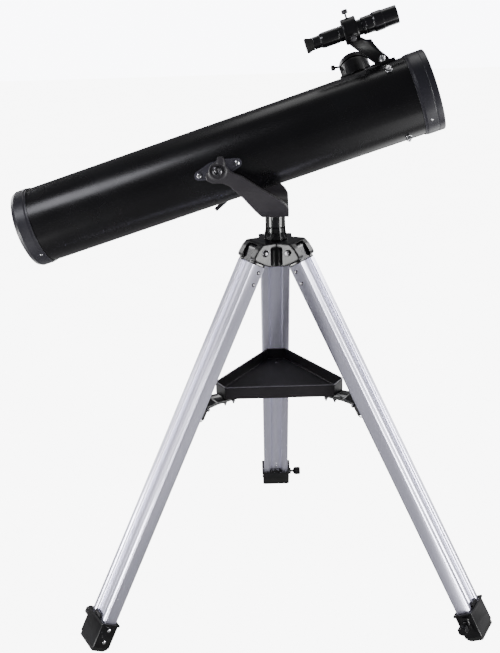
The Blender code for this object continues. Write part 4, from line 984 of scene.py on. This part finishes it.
def studio():
    """White to the camera; around the object it is bright at both sides, and dim elsewhere."""
    world = bpy.data.worlds.new("studio")
    bpy.context.scene.world = world
    world.use_nodes = True
    tree = world.node_tree
    back = tree.nodes["Background"]
    place = tree.nodes.new("ShaderNodeTexCoord")
    split = tree.nodes.new("ShaderNodeSeparateXYZ")
    tree.links.new(place.outputs["Generated"], split.inputs[0])
    aside = spread(tree, reckon(tree, "ABSOLUTE", split.outputs["X"]), *ROOM_GLOW, 0.5, 0.85)
    forward = spread(tree, reckon(tree, "ABSOLUTE", split.outputs["Y"]), *ROOM_GLOW, 0.15, 0.45)
    glow = reckon(tree, "MINIMUM", aside, forward)
    back.inputs["Color"].default_value = (0.93, 0.94, 1.0, 1)
    tree.links.new(seen_or_not(tree, glow, SEEN_GLOW + 0.7), back.inputs["Strength"])


def soft_box(name, location, target, size, power, colour=(1, 1, 1)):
    data = bpy.data.lights.new(name, "AREA")
    data.shape = "RECTANGLE"
    data.size, data.size_y = size
    data.energy = power
    data.color = colour
    ob = bpy.data.objects.new(name, data)
    bpy.context.scene.collection.objects.link(ob)
    ob.location = location
    ob.visible_camera = False
    ob.rotation_euler = (Vector(target) - Vector(location)).to_track_quat("-Z", "Y").to_euler()
    return ob


def camera():
    """The stand's axis sits 42 mm right of the camera's; level 18.6 degrees down, 1.7 degrees of roll."""
    data = bpy.data.cameras.new("camera")
    data.sensor_width, data.lens = 36.0, 52.37
    ob = bpy.data.objects.new("camera", data)
    bpy.context.scene.collection.objects.link(ob)
    yaw, pitch, roll = math.radians(-0.18), math.radians(18.58), math.radians(-1.7)
    forward = Vector((math.sin(yaw) * math.cos(pitch), math.cos(yaw) * math.cos(pitch), -math.sin(pitch)))
    level = Vector((math.cos(yaw), -math.sin(yaw), 0))
    right = level * math.cos(roll) + level.cross(forward) * math.sin(roll)
    up = right.cross(forward)
    turn = Matrix((right, up, -forward)).transposed().to_4x4()
    ob.matrix_world = shift(axis_x - 0.042, axis_y - 1.5409, 1.0128) @ turn
    bpy.context.scene.camera = ob


FLOOR_HALF = 14.0
FLOOR_GLOW, ROOM_GLOW, SEEN_GLOW = (0.2, 4.2), (0.15, 0.8), 9.0
stage()
studio()
soft_box("key", (-0.95, -0.75, 1.65), (-0.35, 0, 0.7), (0.6, 0.45), 8, (0.93, 0.93, 1.0))
soft_box("fill", (1.9, -1.7, 0.9), (0, 0, 0.5), (0.7, 1.3), 10)
soft_box("top", (0.2, 0.9, 2.8), (0, 0, 0.6), (2.0, 1.2), 14)
for side, name in ((-1, "left"), (1, "right")):
    soft_box(f"low_{name}", (1.6 * side, -1.0, 0.26), (0, 0, 0.3), (0.7, 0.5), 34)
    soft_box(f"back_{name}", (1.7 * side, 1.5, 1.2), (0, 0, 0.35), (0.8, 0.8), 20)
camera()
